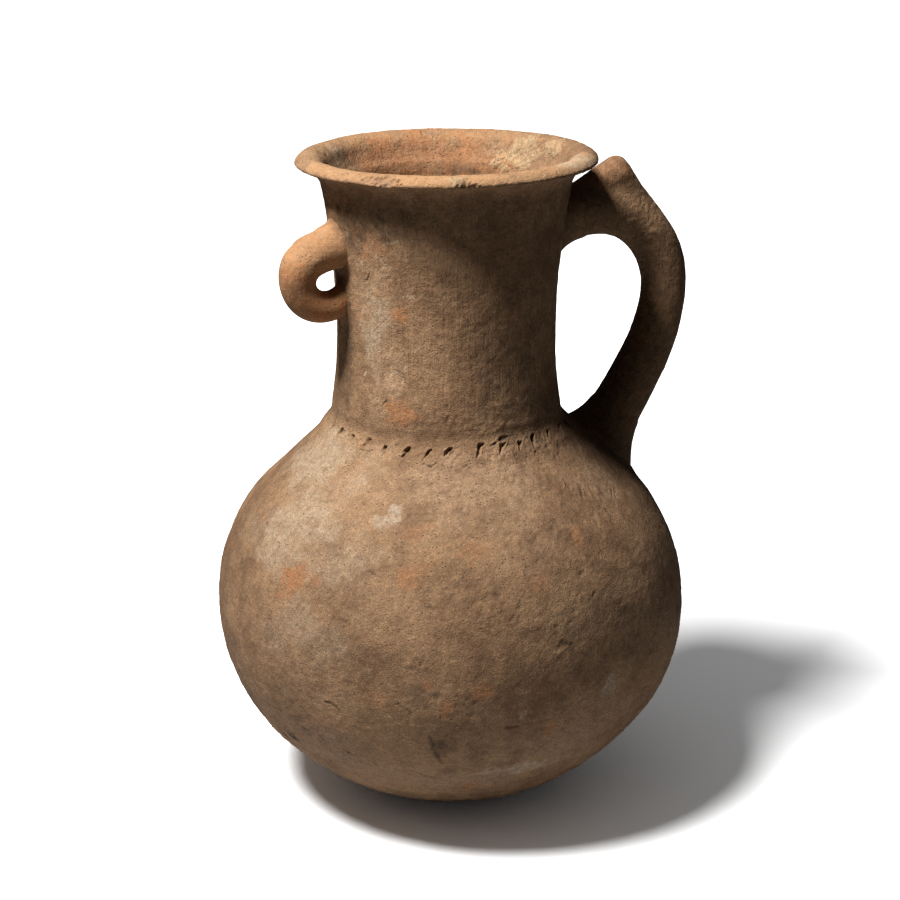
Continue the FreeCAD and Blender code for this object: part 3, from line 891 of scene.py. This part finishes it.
def painted(points):
    """The strength of each kind of mark at each point, from 0 to 1."""
    flat = points.reshape(-1, 3)
    strengths = {kind: np.zeros(len(flat)) for kind in (*EDGES, *STROKE_DEPTHS, "burr")}
    paint_patches(flat, strengths)
    paint_strokes(flat, strengths)
    return {kind: values.reshape(points.shape[:-1]) for kind, values in strengths.items()}


print("marks of", len(EDGES) + len(STROKE_DEPTHS), "kinds can be painted")

# %% [markdown]
# Then comes the wall's own unevenness: slow swellings from palms and paddle, finer ones from fingers and
# sand, pits, grit that stands proud, flakes that lie along the lower body, and fine rings from the wheel. The
# neck was smoothed on the wheel, so it has less of most of them. A swelling or a ring has its height, its
# size and its seed, and pits and grit have their size, the share of places that hold one, and their seed.

# %% Unevenness of the wall
SWELLINGS = {"palm": (0.55, 42, 11), "paddle": (0.26, 15, 12), "finger": (0.10, 5, 13),
             "sand": (0.09, 1.9, 14)}
LESS_ON_NECK = {"palm": 0.6, "paddle": 0.5}
NECK_RISE = 20 * MM
FLAKE = np.array((1, 1, 3.0))
FLAKES = (0.16, 4.5, 16)
LOW_ENDS = (28 * MM, 78 * MM)
LOW_LEAST = 0.25
PIT_DEPTH = 0.34
PITS = (((4.2, 0.20, 20), 1.0), ((2.4, 0.36, 30), 0.8))
PIT_BEND = (1.6 * MM, 0.7 * MM, 17)
FLAT_PIT = np.array((1, 1, 1.5))
GRIT_HEIGHT = 0.22
GRIT = (3.2, 0.20, 40)
PATCHY = (1.3, 17, 15)
PATCHY_LEVEL, PATCHY_LEAST, PATCHY_LESS = 0.45, 0.05, 0.5
CRUMBS = ((1.0, 1.5, 45), (0.6, 0.9, 46))
RING = np.array((0.02, 0.02, 1))
NECK_RINGS, MOUTH_RINGS = (0.025, 1.3, 50), (0.15, 0.9, 55)
ROUGH_HEIGHT, CRUST_HEIGHT = 0.28, 0.45
CHIP_DEPTH, CHIP_RAGGED = 0.9, 0.35


def swollen(points, amount, size, seed):
    """Smooth random values up to amount, over a size in millimetres."""
    return amount * swelling(points, size * MM, seed)


def unevenness(points):
    """How far the clay stands out at each point, and the strength of each mark there."""
    marks = painted(points)
    up = eased(points[..., 2], band_top[1], band_top[1] + NECK_RISE)
    low = 1 - eased(points[..., 2], *LOW_ENDS)
    height = np.zeros(points.shape[:-1])
    for cause, shape in SWELLINGS.items():
        height += swollen(points, *shape) * (1 - LESS_ON_NECK.get(cause, 0) * up)
    height += swollen(points * FLAKE, *FLAKES) * (LOW_LEAST + low)
    ragged = warped(points, *PIT_BEND) * FLAT_PIT
    patchy = np.clip(PATCHY_LEVEL + swollen(points, *PATCHY), PATCHY_LEAST, 1) * (1 - PATCHY_LESS * up)
    pits = sum(depth * hollows(ragged, size * MM, share, seed) for (size, share, seed), depth in PITS)
    grit = hollows(ragged, GRIT[0] * MM, *GRIT[1:])
    height += (GRIT_HEIGHT * grit - PIT_DEPTH * pits) * patchy
    crumbs = sum(swollen(points, *shape) for shape in CRUMBS)
    height += ROUGH_HEIGHT * marks["rough"] * crumbs + CRUST_HEIGHT * marks["crust"] * (1 + crumbs)
    height += swollen(points * RING, *NECK_RINGS) * up
    height += swollen(points * RING, *MOUTH_RINGS) * marks["wheel"]
    height -= CHIP_DEPTH * marks["chip"] * (1 + CHIP_RAGGED * crumbs)
    for kind, depth in STROKE_DEPTHS.items():
        height -= depth * marks[kind]
    height += BURR * marks.pop("burr")
    marks["pit"] = np.clip(pits * patchy, 0, 1)
    return height * MM, marks


height, wall_marks = unevenness(wall)
print("unevenness from", (height.min() / MM).round(2), "to", (height.max() / MM).round(2), "mm")

# %% [markdown]
# The potter pressed the soft band flat into the corner and keyed it with a pointed tool, once for each
# finger's breadth. The stabs that the photograph shows have their pixels, and those at the back follow
# evenly.

# %% Press the band flat and place the stabs
STAB_COUNT = 32
STAB_PIXELS = ((330, 425), (338, 431), (350, 438), (365, 443), (383, 449), (405, 452), (426, 455), (447, 452),
               (480, 450), (503, 448), (521, 445), (535, 441), (551, 434))
STAB_HEIGHT = 4.0 * MM
STAB_SPREAD = 3.0 * MM
BAND_PRESS = 1.1 * MM
PRESS_PLACE = 1.5 * MM
PRESS_HALF = 6.5 * MM

neck_corner = band_face[len(band_face) // 2]
ring_way = np.concatenate([[0], np.cumsum(np.linalg.norm(np.diff(rings, axis=0), axis=1))])
corner_ring = ring_near(neck_corner, outer_rings)
up_the_wall = (ring_way - ring_way[corner_ring])[:, None] * np.ones(AROUND)
press = BAND_PRESS * (1 - eased(np.abs(up_the_wall - PRESS_PLACE), 0, PRESS_HALF))
press[crest_ring:] = 0
height -= press

seen_stabs = np.array([on_photo(pixel) for pixel in STAB_PIXELS])
seen_angles = np.unwrap(np.arctan2(seen_stabs[:, 1], seen_stabs[:, 0]))
seen_section = np.stack([np.linalg.norm(seen_stabs[:, :2], axis=1), seen_stabs[:, 2]], axis=1)
seen_rings = [ring_near(point, outer_rings) for point in seen_section]
seen_ways = np.clip(ring_way[seen_rings] - ring_way[corner_ring], -STAB_SPREAD, STAB_SPREAD)
hidden_count = STAB_COUNT - len(STAB_PIXELS)
hidden_angles = np.linspace(seen_angles[-1], seen_angles[0] + 2 * math.pi, hidden_count + 2)[1:-1]
stab_angles = np.concatenate([seen_angles, hidden_angles])
stab_ways = np.concatenate([seen_ways, np.full(hidden_count, seen_ways.mean())])
print("seen stabs lie", (seen_ways / MM).round(1), "mm up the wall")

# %% [markdown]
# Each stab starts deep at the upper right, drags out to a tail at the lower left and pushes up a small rim.
# No two are alike: the jitter is for a stab's place around, its place up the wall, its length, width, lean
# and depth. The stabs of the photograph keep their places.

# %% Work the stabs into the band
STAB_SEED, RAGGED_SEED = 7, 60
STAB_JITTER = np.array((0.07, 0.35, 0.20, 0.22, 0.30, 0.20, 0))
STAB_DEPTH = 2.1 * MM
STAB_WIDTH = 2.4 * MM
STAB_WALL = 0.4 * MM
STAB_LEAN = 0.42
TAIL_WIDTH, HEAD_WIDTH, TAPER = 0.10, 0.40, 0.8
TAIL_DEPTH, HEAD_DEPTH = 0.35, 0.65
STRENGTH, STRENGTH_ENDS = 0.95, (0.5, 1.2)
RAGGED_EDGE, RAGGED_SIZE = 0.45 * MM, 1.1 * MM
RIM_HEIGHT, RIM_PLACE, RIM_HALF = 0.16 * MM, 0.35 * MM, 0.5 * MM

angle = np.arctan2(wall[..., 1], wall[..., 0])
near_band = np.abs(up_the_wall) < 3 * STAB_HEIGHT
near_band[crest_ring:] = False
stab_mask = np.zeros(wall.shape[:2])
stab_random = np.random.default_rng(STAB_SEED)
for index in range(STAB_COUNT):
    jitter = STAB_JITTER * stab_random.normal(0, 1, len(STAB_JITTER))
    moved = index >= len(STAB_PIXELS)
    middle = stab_angles[index] + moved * jitter[0] * 2 * math.pi / STAB_COUNT
    sideways = ((angle - middle + math.pi) % (2 * math.pi) - math.pi) * neck_corner[0]
    raised = up_the_wall - stab_ways[index] - moved * jitter[1] * MM
    tall = STAB_HEIGHT * (1 + jitter[2])
    wide = STAB_WIDTH * (1 + jitter[3])
    share = np.clip(raised / tall + 0.5, 0, 1)
    slant = sideways - STAB_LEAN * (1 + jitter[4]) * raised
    edge = wide * (TAIL_WIDTH + HEAD_WIDTH * share**TAPER)
    room = np.minimum(edge - np.abs(slant), tall / 2 - np.abs(raised))
    inside = np.full(wall.shape[:2], -1.0)
    ragged = RAGGED_EDGE * swelling(wall[near_band], RAGGED_SIZE, RAGGED_SEED + index)
    inside[near_band] = room[near_band] + ragged
    depth = np.clip(inside / STAB_WALL, 0, 1) * (TAIL_DEPTH + HEAD_DEPTH * share)
    depth *= np.clip(STRENGTH + jitter[5], *STRENGTH_ENDS)
    rim = np.clip(1 - np.abs(inside + RIM_PLACE) / RIM_HALF, 0, 1) * near_band
    height += RIM_HEIGHT * rim * (1 - depth) - STAB_DEPTH * depth
    stab_mask = np.maximum(stab_mask, depth)
print(STAB_COUNT, "stabs, deepest", (STAB_DEPTH * stab_mask.max() / MM).round(2), "mm")

# %% [markdown]
# Where the handle and the scroll were luted on, wet clay was drawn up against them. The wall rises a little
# towards each root, so the joint is a hollow curve and not a sharp line.

# %% Draw the wall up to the handle and the scroll
FILLET_WIDTH = 5.5 * MM
FILLET_HEIGHT = 1.0 * MM

fillet = np.zeros(wall.shape[:2])
for skin_mesh, tree in zip((handle_skin, scroll_skin), skin_trees):
    points = coordinates(skin_mesh)
    low, high = points.min(0) - FILLET_WIDTH, points.max(0) + FILLET_WIDTH
    close = ((wall > low) & (wall < high)).all(axis=2)
    close[crest_ring:] = False
    for row, column in zip(*np.nonzero(close)):
        point = Vector(wall[row, column])
        near, normal, _, distance = tree.find_nearest(point, FILLET_WIDTH)
        if near is None:
            continue
        outside = (point - near).dot(normal) > 0
        nearness = 1 - distance / FILLET_WIDTH if outside else 1
        fillet[row, column] = max(fillet[row, column], nearness**2)
height += FILLET_HEIGHT * fillet
print("fillets reach", int((fillet > 0).sum()), "points of the wall")

# %% [markdown]
# The wall's sheet is now pushed out and in along its normals, and divided into the four lumps that the wall
# is made of. Each lump is closed with its own seam faces. The normals come from the whole sheet, so the light
# runs over the seams as over the fired jug.

# %% Closed pieces from rings
wall_shape = wall + wall_normals * height[..., None]
shape_normals = sheet_normals(wall_shape)


def ring_piece(name, grids, normals, closed):
    """A mesh through stacks of rings.

    A closed one joins its last ring to its first. In another, both ends get a point.
    """
    grid = np.concatenate(grids)
    rows, columns = grid.shape[:2]
    index = np.arange(rows * columns).reshape(rows, columns)
    after = np.roll(index, -1, axis=1)
    if closed:
        index = np.concatenate([index, index[:1]])
        after = np.concatenate([after, after[:1]])
    quads = np.stack([index[:-1], after[:-1], after[1:], index[1:]], axis=-1).reshape(-1, 4)
    points = grid.reshape(-1, 3)
    corners, sizes = [quads.ravel()], [np.full(len(quads), 4)]
    facing = np.concatenate(normals).reshape(-1, 3)
    if not closed:
        ends = [grid[0].mean(0), grid[-1].mean(0)]
        first = np.stack([after[0], index[0], np.full(columns, len(points))], axis=-1)
        last = np.stack([index[-1], after[-1], np.full(columns, len(points) + 1)], axis=-1)
        points = np.vstack([points, ends])
        facing = np.vstack([facing, np.zeros((2, 3))])
        corners += [first.ravel(), last.ravel()]
        sizes += [np.full(2 * columns, 3)]
    mesh = mesh_from(name, points, np.concatenate(corners), np.concatenate(sizes))
    mesh.normals_split_custom_set_from_vertices(facing.tolist())
    return mesh


def mesh_from(name, points, corners, sizes):
    mesh = bpy.data.meshes.new(name)
    mesh.vertices.add(len(points))
    mesh.vertices.foreach_set("co", np.ascontiguousarray(points, np.float32).ravel())
    mesh.loops.add(len(corners))
    mesh.loops.foreach_set("vertex_index", corners.astype(np.int32))
    mesh.polygons.add(len(sizes))
    starts = np.concatenate([[0], np.cumsum(sizes)[:-1]])
    mesh.polygons.foreach_set("loop_start", starts.astype(np.int32))
    mesh.polygons.foreach_set("use_smooth", np.ones(len(sizes), bool))
    mesh.update(calc_edges=True)
    mesh.validate()
    return mesh


print("sheet of", wall_shape.shape[0] * wall_shape.shape[1], "points")

# %% [markdown]
# The seams are where the frame has them: a bevel at the girth, a square seat under the neck, and the faces
# that the band lies on. Under the band those faces go a little deeper, to leave room for the stabs.

# %% Divide the wall into bowl, shoulder, neck and band
UNDER_BAND = 2.2 * MM
CORNER_DEEPER = 1.3
PIECE_SLOTS = {"neck_luting_band": "luting_clay"}


def shared_ends(first, second):
    """The outer and the inner end of the seam between two turned lumps."""
    ends = sorted((point for edge in first & second for point in edge), key=lambda point: point[0])
    return np.array(ends[-1]), np.array(ends[0])


def inset(ring):
    """The section point that lies under an outer ring, at the depth of the band's bed."""
    way = outer_rings[ring + 1] - outer_rings[ring - 1]
    outward = np.array((way[1], -way[0])) / np.linalg.norm(way)
    return outer_rings[ring] - outward * UNDER_BAND


girth_outer, girth_inner = shared_ends(bowl_cut, shoulder_cut)
seat_outer, seat_inner = shared_ends(shoulder_cut, neck_cut)
girth_ring = ring_near(girth_outer, outer_rings)
band_low, band_high = ring_near(band_bottom, outer_rings), ring_near(band_top, outer_rings)
inner_start = len(outer_rings)
girth_inner_ring = inner_start + ring_near(girth_inner, inner_rings)
seat_inner_ring = inner_start + ring_near(seat_inner, inner_rings)
seat_way = (seat_inner - seat_outer) / np.linalg.norm(seat_inner - seat_outer)
bed_corner = seat_outer + seat_way * UNDER_BAND * CORNER_DEEPER
bed = turned(np.array([inset(band_low), bed_corner, inset(band_high)]))
marks = {**wall_marks, "stab": stab_mask}
wall_pieces = {
    "body_bowl": ([slice(0, girth_ring + 1), slice(girth_inner_ring, None)], None, False),
    "body_shoulder": ([slice(girth_ring, band_low + 1), slice(seat_inner_ring, girth_inner_ring + 1)],
                      bed[:2], True),
    "neck": ([slice(band_high, seat_inner_ring + 1)], bed[1:], True),
    "neck_luting_band": ([slice(band_low, band_high + 1)], bed[::-1], True),
}


def add_piece(name, mesh, nodes):
    """A finished piece of the jug, which stands for its nodes of the frame."""
    piece = bpy.data.objects.new(name + "_clay", mesh)
    bpy.context.scene.collection.objects.link(piece)
    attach(piece, "root")
    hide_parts(*nodes)
    print(name, len(mesh.vertices), "points,", len(mesh.polygons), "faces")
    return piece


def add_marks(mesh, stacks):
    """Writes each mark's strength at each point as an attribute, which the materials read."""
    for mark, values in stacks.items():
        layer = mesh.attributes.new(mark, "FLOAT", "POINT")
        padded = np.zeros(len(mesh.vertices), np.float32)
        padded[:len(values)] = values
        layer.data.foreach_set("value", padded)


pieces = {}
for name, (parts, hidden, closed) in wall_pieces.items():
    grids = [wall_shape[part] for part in parts]
    normals = [shape_normals[part] for part in parts]
    stacks = {mark: [values[part] for part in parts] for mark, values in marks.items()}
    if hidden is not None:
        place = 0 if name == "neck" else 1
        grids.insert(place, hidden)
        normals.insert(place, np.zeros_like(hidden))
        for values in stacks.values():
            values.insert(place, np.zeros(hidden.shape[:2]))
    mesh = ring_piece(name, grids, normals, closed)
    add_marks(mesh, {mark: np.concatenate(values).ravel() for mark, values in stacks.items()})
    pieces[name] = add_piece(name, mesh, [name])

# %% [markdown]
# The rolls get the same unevenness, fainter, because wet fingers ran along them. The handle's skin is then
# cut where the peak was pinched on, so that the peak stays a lump of its own.

# %% Finish the handle, its peak and the scroll
PEAK_CUT_DEPTH = 11.96 * MM
PEAK_CUT_TILT = math.radians(20)
HANDLE_RELIEF, HANDLE_TONES = 0.7, {"warm": 0.35, "soil_and_shade": 0.45}
SCROLL_RELIEF, SCROLL_TONES = 0.30, {"warm": 1.0, "orange": 0.35}


def roughened(mesh, strength, tones):
    """Pushes a skin's points in and out like the wall's, and gives it the wall's marks and a tone."""
    points = coordinates(mesh)
    facing = np.empty(len(points) * 3)
    mesh.vertex_normals.foreach_get("vector", facing)
    lift, skin_marks = unevenness(points)
    points += facing.reshape(-1, 3) * (lift * strength)[:, None]
    mesh.vertices.foreach_set("co", points.ravel())
    mesh.update()
    for mark, least in tones.items():
        skin_marks[mark] = np.maximum(skin_marks[mark], least)
    add_marks(mesh, {**skin_marks, "stab": np.zeros(len(points))})


def part_of(mesh, name, place, facing, upper):
    """The closed part of a skin above or below a plane, with the whole skin's normals."""
    cut = bmesh.new()
    cut.from_mesh(mesh)
    layer = cut.verts.layers.float_vector.new("skin_normal")
    for vert in cut.verts:
        vert[layer] = vert.normal
    whole = cut.verts[:] + cut.edges[:] + cut.faces[:]
    made = bmesh.ops.bisect_plane(cut, geom=whole, plane_co=place, plane_no=facing,
                                  clear_inner=upper, clear_outer=not upper)
    rim = [part for part in made["geom_cut"] if isinstance(part, bmesh.types.BMEdge)]
    bmesh.ops.holes_fill(cut, edges=rim)
    for face in cut.faces:
        face.smooth = True
    result = bpy.data.meshes.new(name)
    cut.to_mesh(result)
    cut.free()
    facing = np.empty(len(result.vertices) * 3)
    result.attributes["skin_normal"].data.foreach_get("vector", facing)
    result.attributes.remove(result.attributes["skin_normal"])
    result.normals_split_custom_set_from_vertices(facing.reshape(-1, 3).tolist())
    return result


roughened(handle_skin, HANDLE_RELIEF, HANDLE_TONES)
roughened(scroll_skin, SCROLL_RELIEF, SCROLL_TONES)
for mesh in (handle_skin, scroll_skin):
    mesh.polygons.foreach_set("use_smooth", np.ones(len(mesh.polygons), bool))
peak_low, peak_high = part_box("thumb_peak")
peak_place = Vector(((peak_low.x + peak_high.x) / 2, 0, peak_high.z - PEAK_CUT_DEPTH))
peak_facing = Vector((math.sin(PEAK_CUT_TILT), 0, math.cos(PEAK_CUT_TILT)))
handle_mesh = part_of(handle_skin, "handle", peak_place, peak_facing, False)
peak_mesh = part_of(handle_skin, "thumb_peak", peak_place, peak_facing, True)
pieces["handle"] = add_piece("handle", handle_mesh, HANDLE_NODES)
pieces["thumb_peak"] = add_piece("thumb_peak", peak_mesh, ["thumb_peak"])
pieces["scroll"] = add_piece("scroll", scroll_skin, SCROLL_NODES)

# %% [markdown]
# The look of the clay is built from two node groups, and each does one thing, so it can be used again. Five
# more helpers mix colours, add up weighted values, start a group and draw noise, which may be stretched.

# %% Helpers for node groups
def blend(tree, factor, first, second, mode="MIX"):
    """A mix of two colours."""
    node = add_node(tree, "Mix", {0: factor, 6: first, 7: second}, data_type="RGBA", blend_type=mode)
    return node.outputs[2]


def new_group(name, inputs, outputs):
    """A node group with float, vector or colour sockets. Returns it with its input and output nodes."""
    tree = bpy.data.node_groups.new(name, "ShaderNodeTree")
    for way, sockets in (("INPUT", inputs), ("OUTPUT", outputs)):
        for socket, kind in sockets.items():
            tree.interface.new_socket(socket, in_out=way, socket_type="NodeSocket" + kind)
    return tree, tree.nodes.new("NodeGroupInput").outputs, tree.nodes.new("NodeGroupOutput").inputs


def weighted(tree, parts, total=0.0):
    """The sum of some values, each times its own weight."""
    for value, weight in parts:
        total = maths(tree, "MULTIPLY_ADD", value, weight, total)
    return total


def noise(tree, place, size, detail=2.0, roughness=0.55):
    """Smooth random values from 0 to 1 that change over size."""
    inputs = {"Vector": place, "Scale": 1 / size, "Detail": detail, "Roughness": roughness}
    return add_node(tree, "TexNoise", inputs).outputs[0]


def stretched(tree, place, scale):
    """The place with each axis scaled, so that what is drawn with it comes out flat or long."""
    return add_node(tree, "VectorMath", {0: place, 1: scale}, operation="MULTIPLY").outputs[0]


print("helpers for groups ready")

# %% [markdown]
# The grain: sand and chaff in the clay leave specks and pinholes far smaller than the mesh can hold. The
# group gives their height in millimetres for the bump, and a mask of the dark ones for the colour.

# %% Grain of the clay
GRAIN_SIZES = {"fine": 0.5 * MM, "middle": 1.5 * MM, "flake": 2.2 * MM, "streak": 0.9 * MM, "speck": 1.3 * MM,
               "cluster": 9 * MM}
GRAIN_LIFTS = {"fine": 0.24, "middle": 0.28, "flake": 0.26, "hole": -0.32, "streak": 0.30}
GRAIN_SHADES = {"fine": 0.65, "flake": 0.35, "streak": 0.15}
FLAT = (1, 1, 1.3)
UPRIGHT = (1, 1, 0.05)
STREAK_ENDS = (150 * MM, 165 * MM)
PINHOLE_EDGES = (0.10, 0.30)
PINHOLE_CHOICE = (0.42, 0.60)
CLUSTER_ENDS = (0.38, 0.55)

outputs = {"Height": "Float", "Pinhole": "Float", "Shade": "Float"}
grain, given, result = new_group("clay_grain", {"Place": "Vector"}, outputs)
place = given["Place"]
flat = stretched(grain, place, FLAT)
grains = {"fine": noise(grain, place, GRAIN_SIZES["fine"], 3.0, 0.65),
          "middle": noise(grain, place, GRAIN_SIZES["middle"]),
          "flake": noise(grain, flat, GRAIN_SIZES["flake"], 4.0, 0.7)}
height_up = add_node(grain, "SeparateXYZ", {0: place}).outputs["Z"]
streaks = noise(grain, stretched(grain, place, UPRIGHT), GRAIN_SIZES["streak"])
grains["streak"] = maths(grain, "MULTIPLY", streaks, span(grain, height_up, *STREAK_ENDS))
cells = add_node(grain, "TexVoronoi", {"Vector": flat, "Scale": 1 / GRAIN_SIZES["speck"]})
draw = add_node(grain, "SeparateColor", {0: cells.outputs["Color"]}).outputs[0]
holes = span(grain, cells.outputs["Distance"], *PINHOLE_EDGES, 1.0, 0.0)
holes = maths(grain, "MULTIPLY", holes, span(grain, draw, *PINHOLE_CHOICE))
clusters = span(grain, noise(grain, place, GRAIN_SIZES["cluster"]), *CLUSTER_ENDS)
grains["hole"] = maths(grain, "MULTIPLY", holes, clusters)
lift = weighted(grain, [(grains[kind], weight) for kind, weight in GRAIN_LIFTS.items()])
shade_parts = [(grains[kind], weight) for kind, weight in GRAIN_SHADES.items()]
shade = weighted(grain, shade_parts, -GRAIN_SHADES["streak"] / 2)
grain.links.new(lift, result["Height"])
grain.links.new(grains["hole"], result["Pinhole"])
grain.links.new(shade, result["Shade"])
print("group", grain.name, "has", len(grain.nodes), "nodes")

# %% [markdown]
# The colour: two browns mottle the clay at three sizes. Over them lie the stains and the painted light and
# shade, each broken up by noise so that no edge is clean. Pits and pinholes are darkened, and each stab gets
# painted shade in its depth.

# %% Colour of the clay
TONES = {
    "dark": (0.225, 0.123, 0.062), "light": (0.38, 0.222, 0.116), "film_and_light": (0.47, 0.335, 0.215),
    "pale": (0.46, 0.285, 0.165), "pink": (0.36, 0.215, 0.128), "orange": (0.42, 0.186, 0.078),
    "white": (0.56, 0.45, 0.33), "soil_and_shade": (0.100, 0.064, 0.038), "crust": (0.42, 0.285, 0.155),
    "warm": (0.42, 0.228, 0.107), "chip": (0.30, 0.170, 0.095), "scratch": (0.52, 0.39, 0.26),
    # crack: dark colour that paints the shade inside cracks, gouges and holes
    "crack": (0.12, 0.072, 0.040),
}
BREAK_UP = {"warm": 0.4, "film_and_light": 0.7, "pale": 0.7, "pink": 0.6, "orange": 0.7, "white": 0.8, "soil_and_shade": 0.9,
            "crust": 0.7, "chip": 0.3, "scratch": 0.5, "crack": 0.5}
BROKEN_ENDS = ((0.30, 0.62), (0.70, 0.38))
MOTTLE_SIZES = {"slow": 34 * MM, "patchy": 8 * MM, "small": 3.2 * MM}
MOTTLE_WEIGHTS = {"slow": 0.45, "patchy": 0.55}
MOTTLE_ENDS = (0.36, 0.64)
SHADE_ENDS = (0.33, 0.67, 0.62, 1.30)
WARM_EVENNESS = 0.5
# how strongly pinholes and pits are darkened, and stabs given painted shade in their depth
HOLLOW_DARKENING = {"Pinhole": 0.65, "pit": 0.42, "stab": 0.6}
ROUGHNESS_ENDS = (0.3, 0.7, 0.80, 0.95)

mark_kinds = list(BREAK_UP)
inputs = {"Place": "Vector"} | {kind: "Float" for kind in ["Pinhole", "Shade", "pit", "stab"] + mark_kinds}
tone, given, result = new_group("clay_colour", inputs, {"Color": "Color", "Roughness": "Float"})
slow = noise(tone, given["Place"], MOTTLE_SIZES["slow"])
patchy = noise(tone, given["Place"], MOTTLE_SIZES["patchy"], 4.0, 0.6)
small = noise(tone, given["Place"], MOTTLE_SIZES["small"], 4.0, 0.65)
mottle = weighted(tone, ((slow, MOTTLE_WEIGHTS["slow"]), (patchy, MOTTLE_WEIGHTS["patchy"])))
colour = blend(tone, span(tone, mottle, *MOTTLE_ENDS), (*TONES["dark"], 1), (*TONES["light"], 1))
for index, (kind, break_up) in enumerate(BREAK_UP.items()):
    broken = span(tone, small, *BROKEN_ENDS[index % 2], 1 - break_up, 1.0)
    factor = maths(tone, "MULTIPLY", given[kind], broken)
    colour = blend(tone, factor, colour, (*TONES[kind], 1))
shade = span(tone, given["Shade"], *SHADE_ENDS)
grey = add_node(tone, "CombineColor", {0: shade, 1: shade, 2: shade}).outputs[0]
colour = blend(tone, span(tone, given["warm"], 0.0, 1.0, 1.0, WARM_EVENNESS), colour, grey, "MULTIPLY")
hollow_dark = 0.0
for kind, share in HOLLOW_DARKENING.items():
    hollow_dark = maths(tone, "MAXIMUM", hollow_dark, maths(tone, "MULTIPLY", given[kind], share))
colour = blend(tone, hollow_dark, colour, (*TONES["soil_and_shade"], 1))
tone.links.new(colour, result["Color"])
tone.links.new(span(tone, small, *ROUGHNESS_ENDS), result["Roughness"])
print("group", tone.name, "has", len(tone.nodes), "nodes")

# %% [markdown]
# Both slots share the two groups. The luting clay was wetter and coarser, so its bump is stronger.

# %% Materials
BUMPS = {"fired_clay": 0.85, "luting_clay": 1.0}
SPECULAR = 0.3


def clay_material(name):
    material = bpy.data.materials.new(name)
    material.use_nodes = True
    tree = material.node_tree
    shader = tree.nodes["Principled BSDF"]
    place = add_node(tree, "TexCoord").outputs["Object"]
    grains = add_node(tree, "Group", {"Place": place}, node_tree=grain).outputs
    stains = {"Place": place, "Pinhole": grains["Pinhole"], "Shade": grains["Shade"]}
    for mark in mark_kinds + ["pit", "stab"]:
        stains[mark] = add_node(tree, "Attribute", attribute_name=mark).outputs["Fac"]
    tones = add_node(tree, "Group", stains, node_tree=tone).outputs
    bump = add_node(tree, "Bump", {"Height": grains["Height"], "Strength": BUMPS[name], "Distance": MM})
    tree.links.new(tones["Color"], shader.inputs["Base Color"])
    tree.links.new(tones["Roughness"], shader.inputs["Roughness"])
    tree.links.new(bump.outputs[0], shader.inputs["Normal"])
    shader.inputs["Specular IOR Level"].default_value = SPECULAR
    print("material", name, "has", len(tree.nodes), "nodes")
    return material


clays = {name: clay_material(name) for name in BUMPS}
for name, piece in pieces.items():
    piece.data.materials.append(clays[PIECE_SLOTS.get(name, "fired_clay")])

# %% [markdown]
# Last, the box of the frame and the box of this scene are kept side by side.

# %% Print the scene's box and finish
low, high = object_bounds()
print("visual box", [list(low), list(high)])
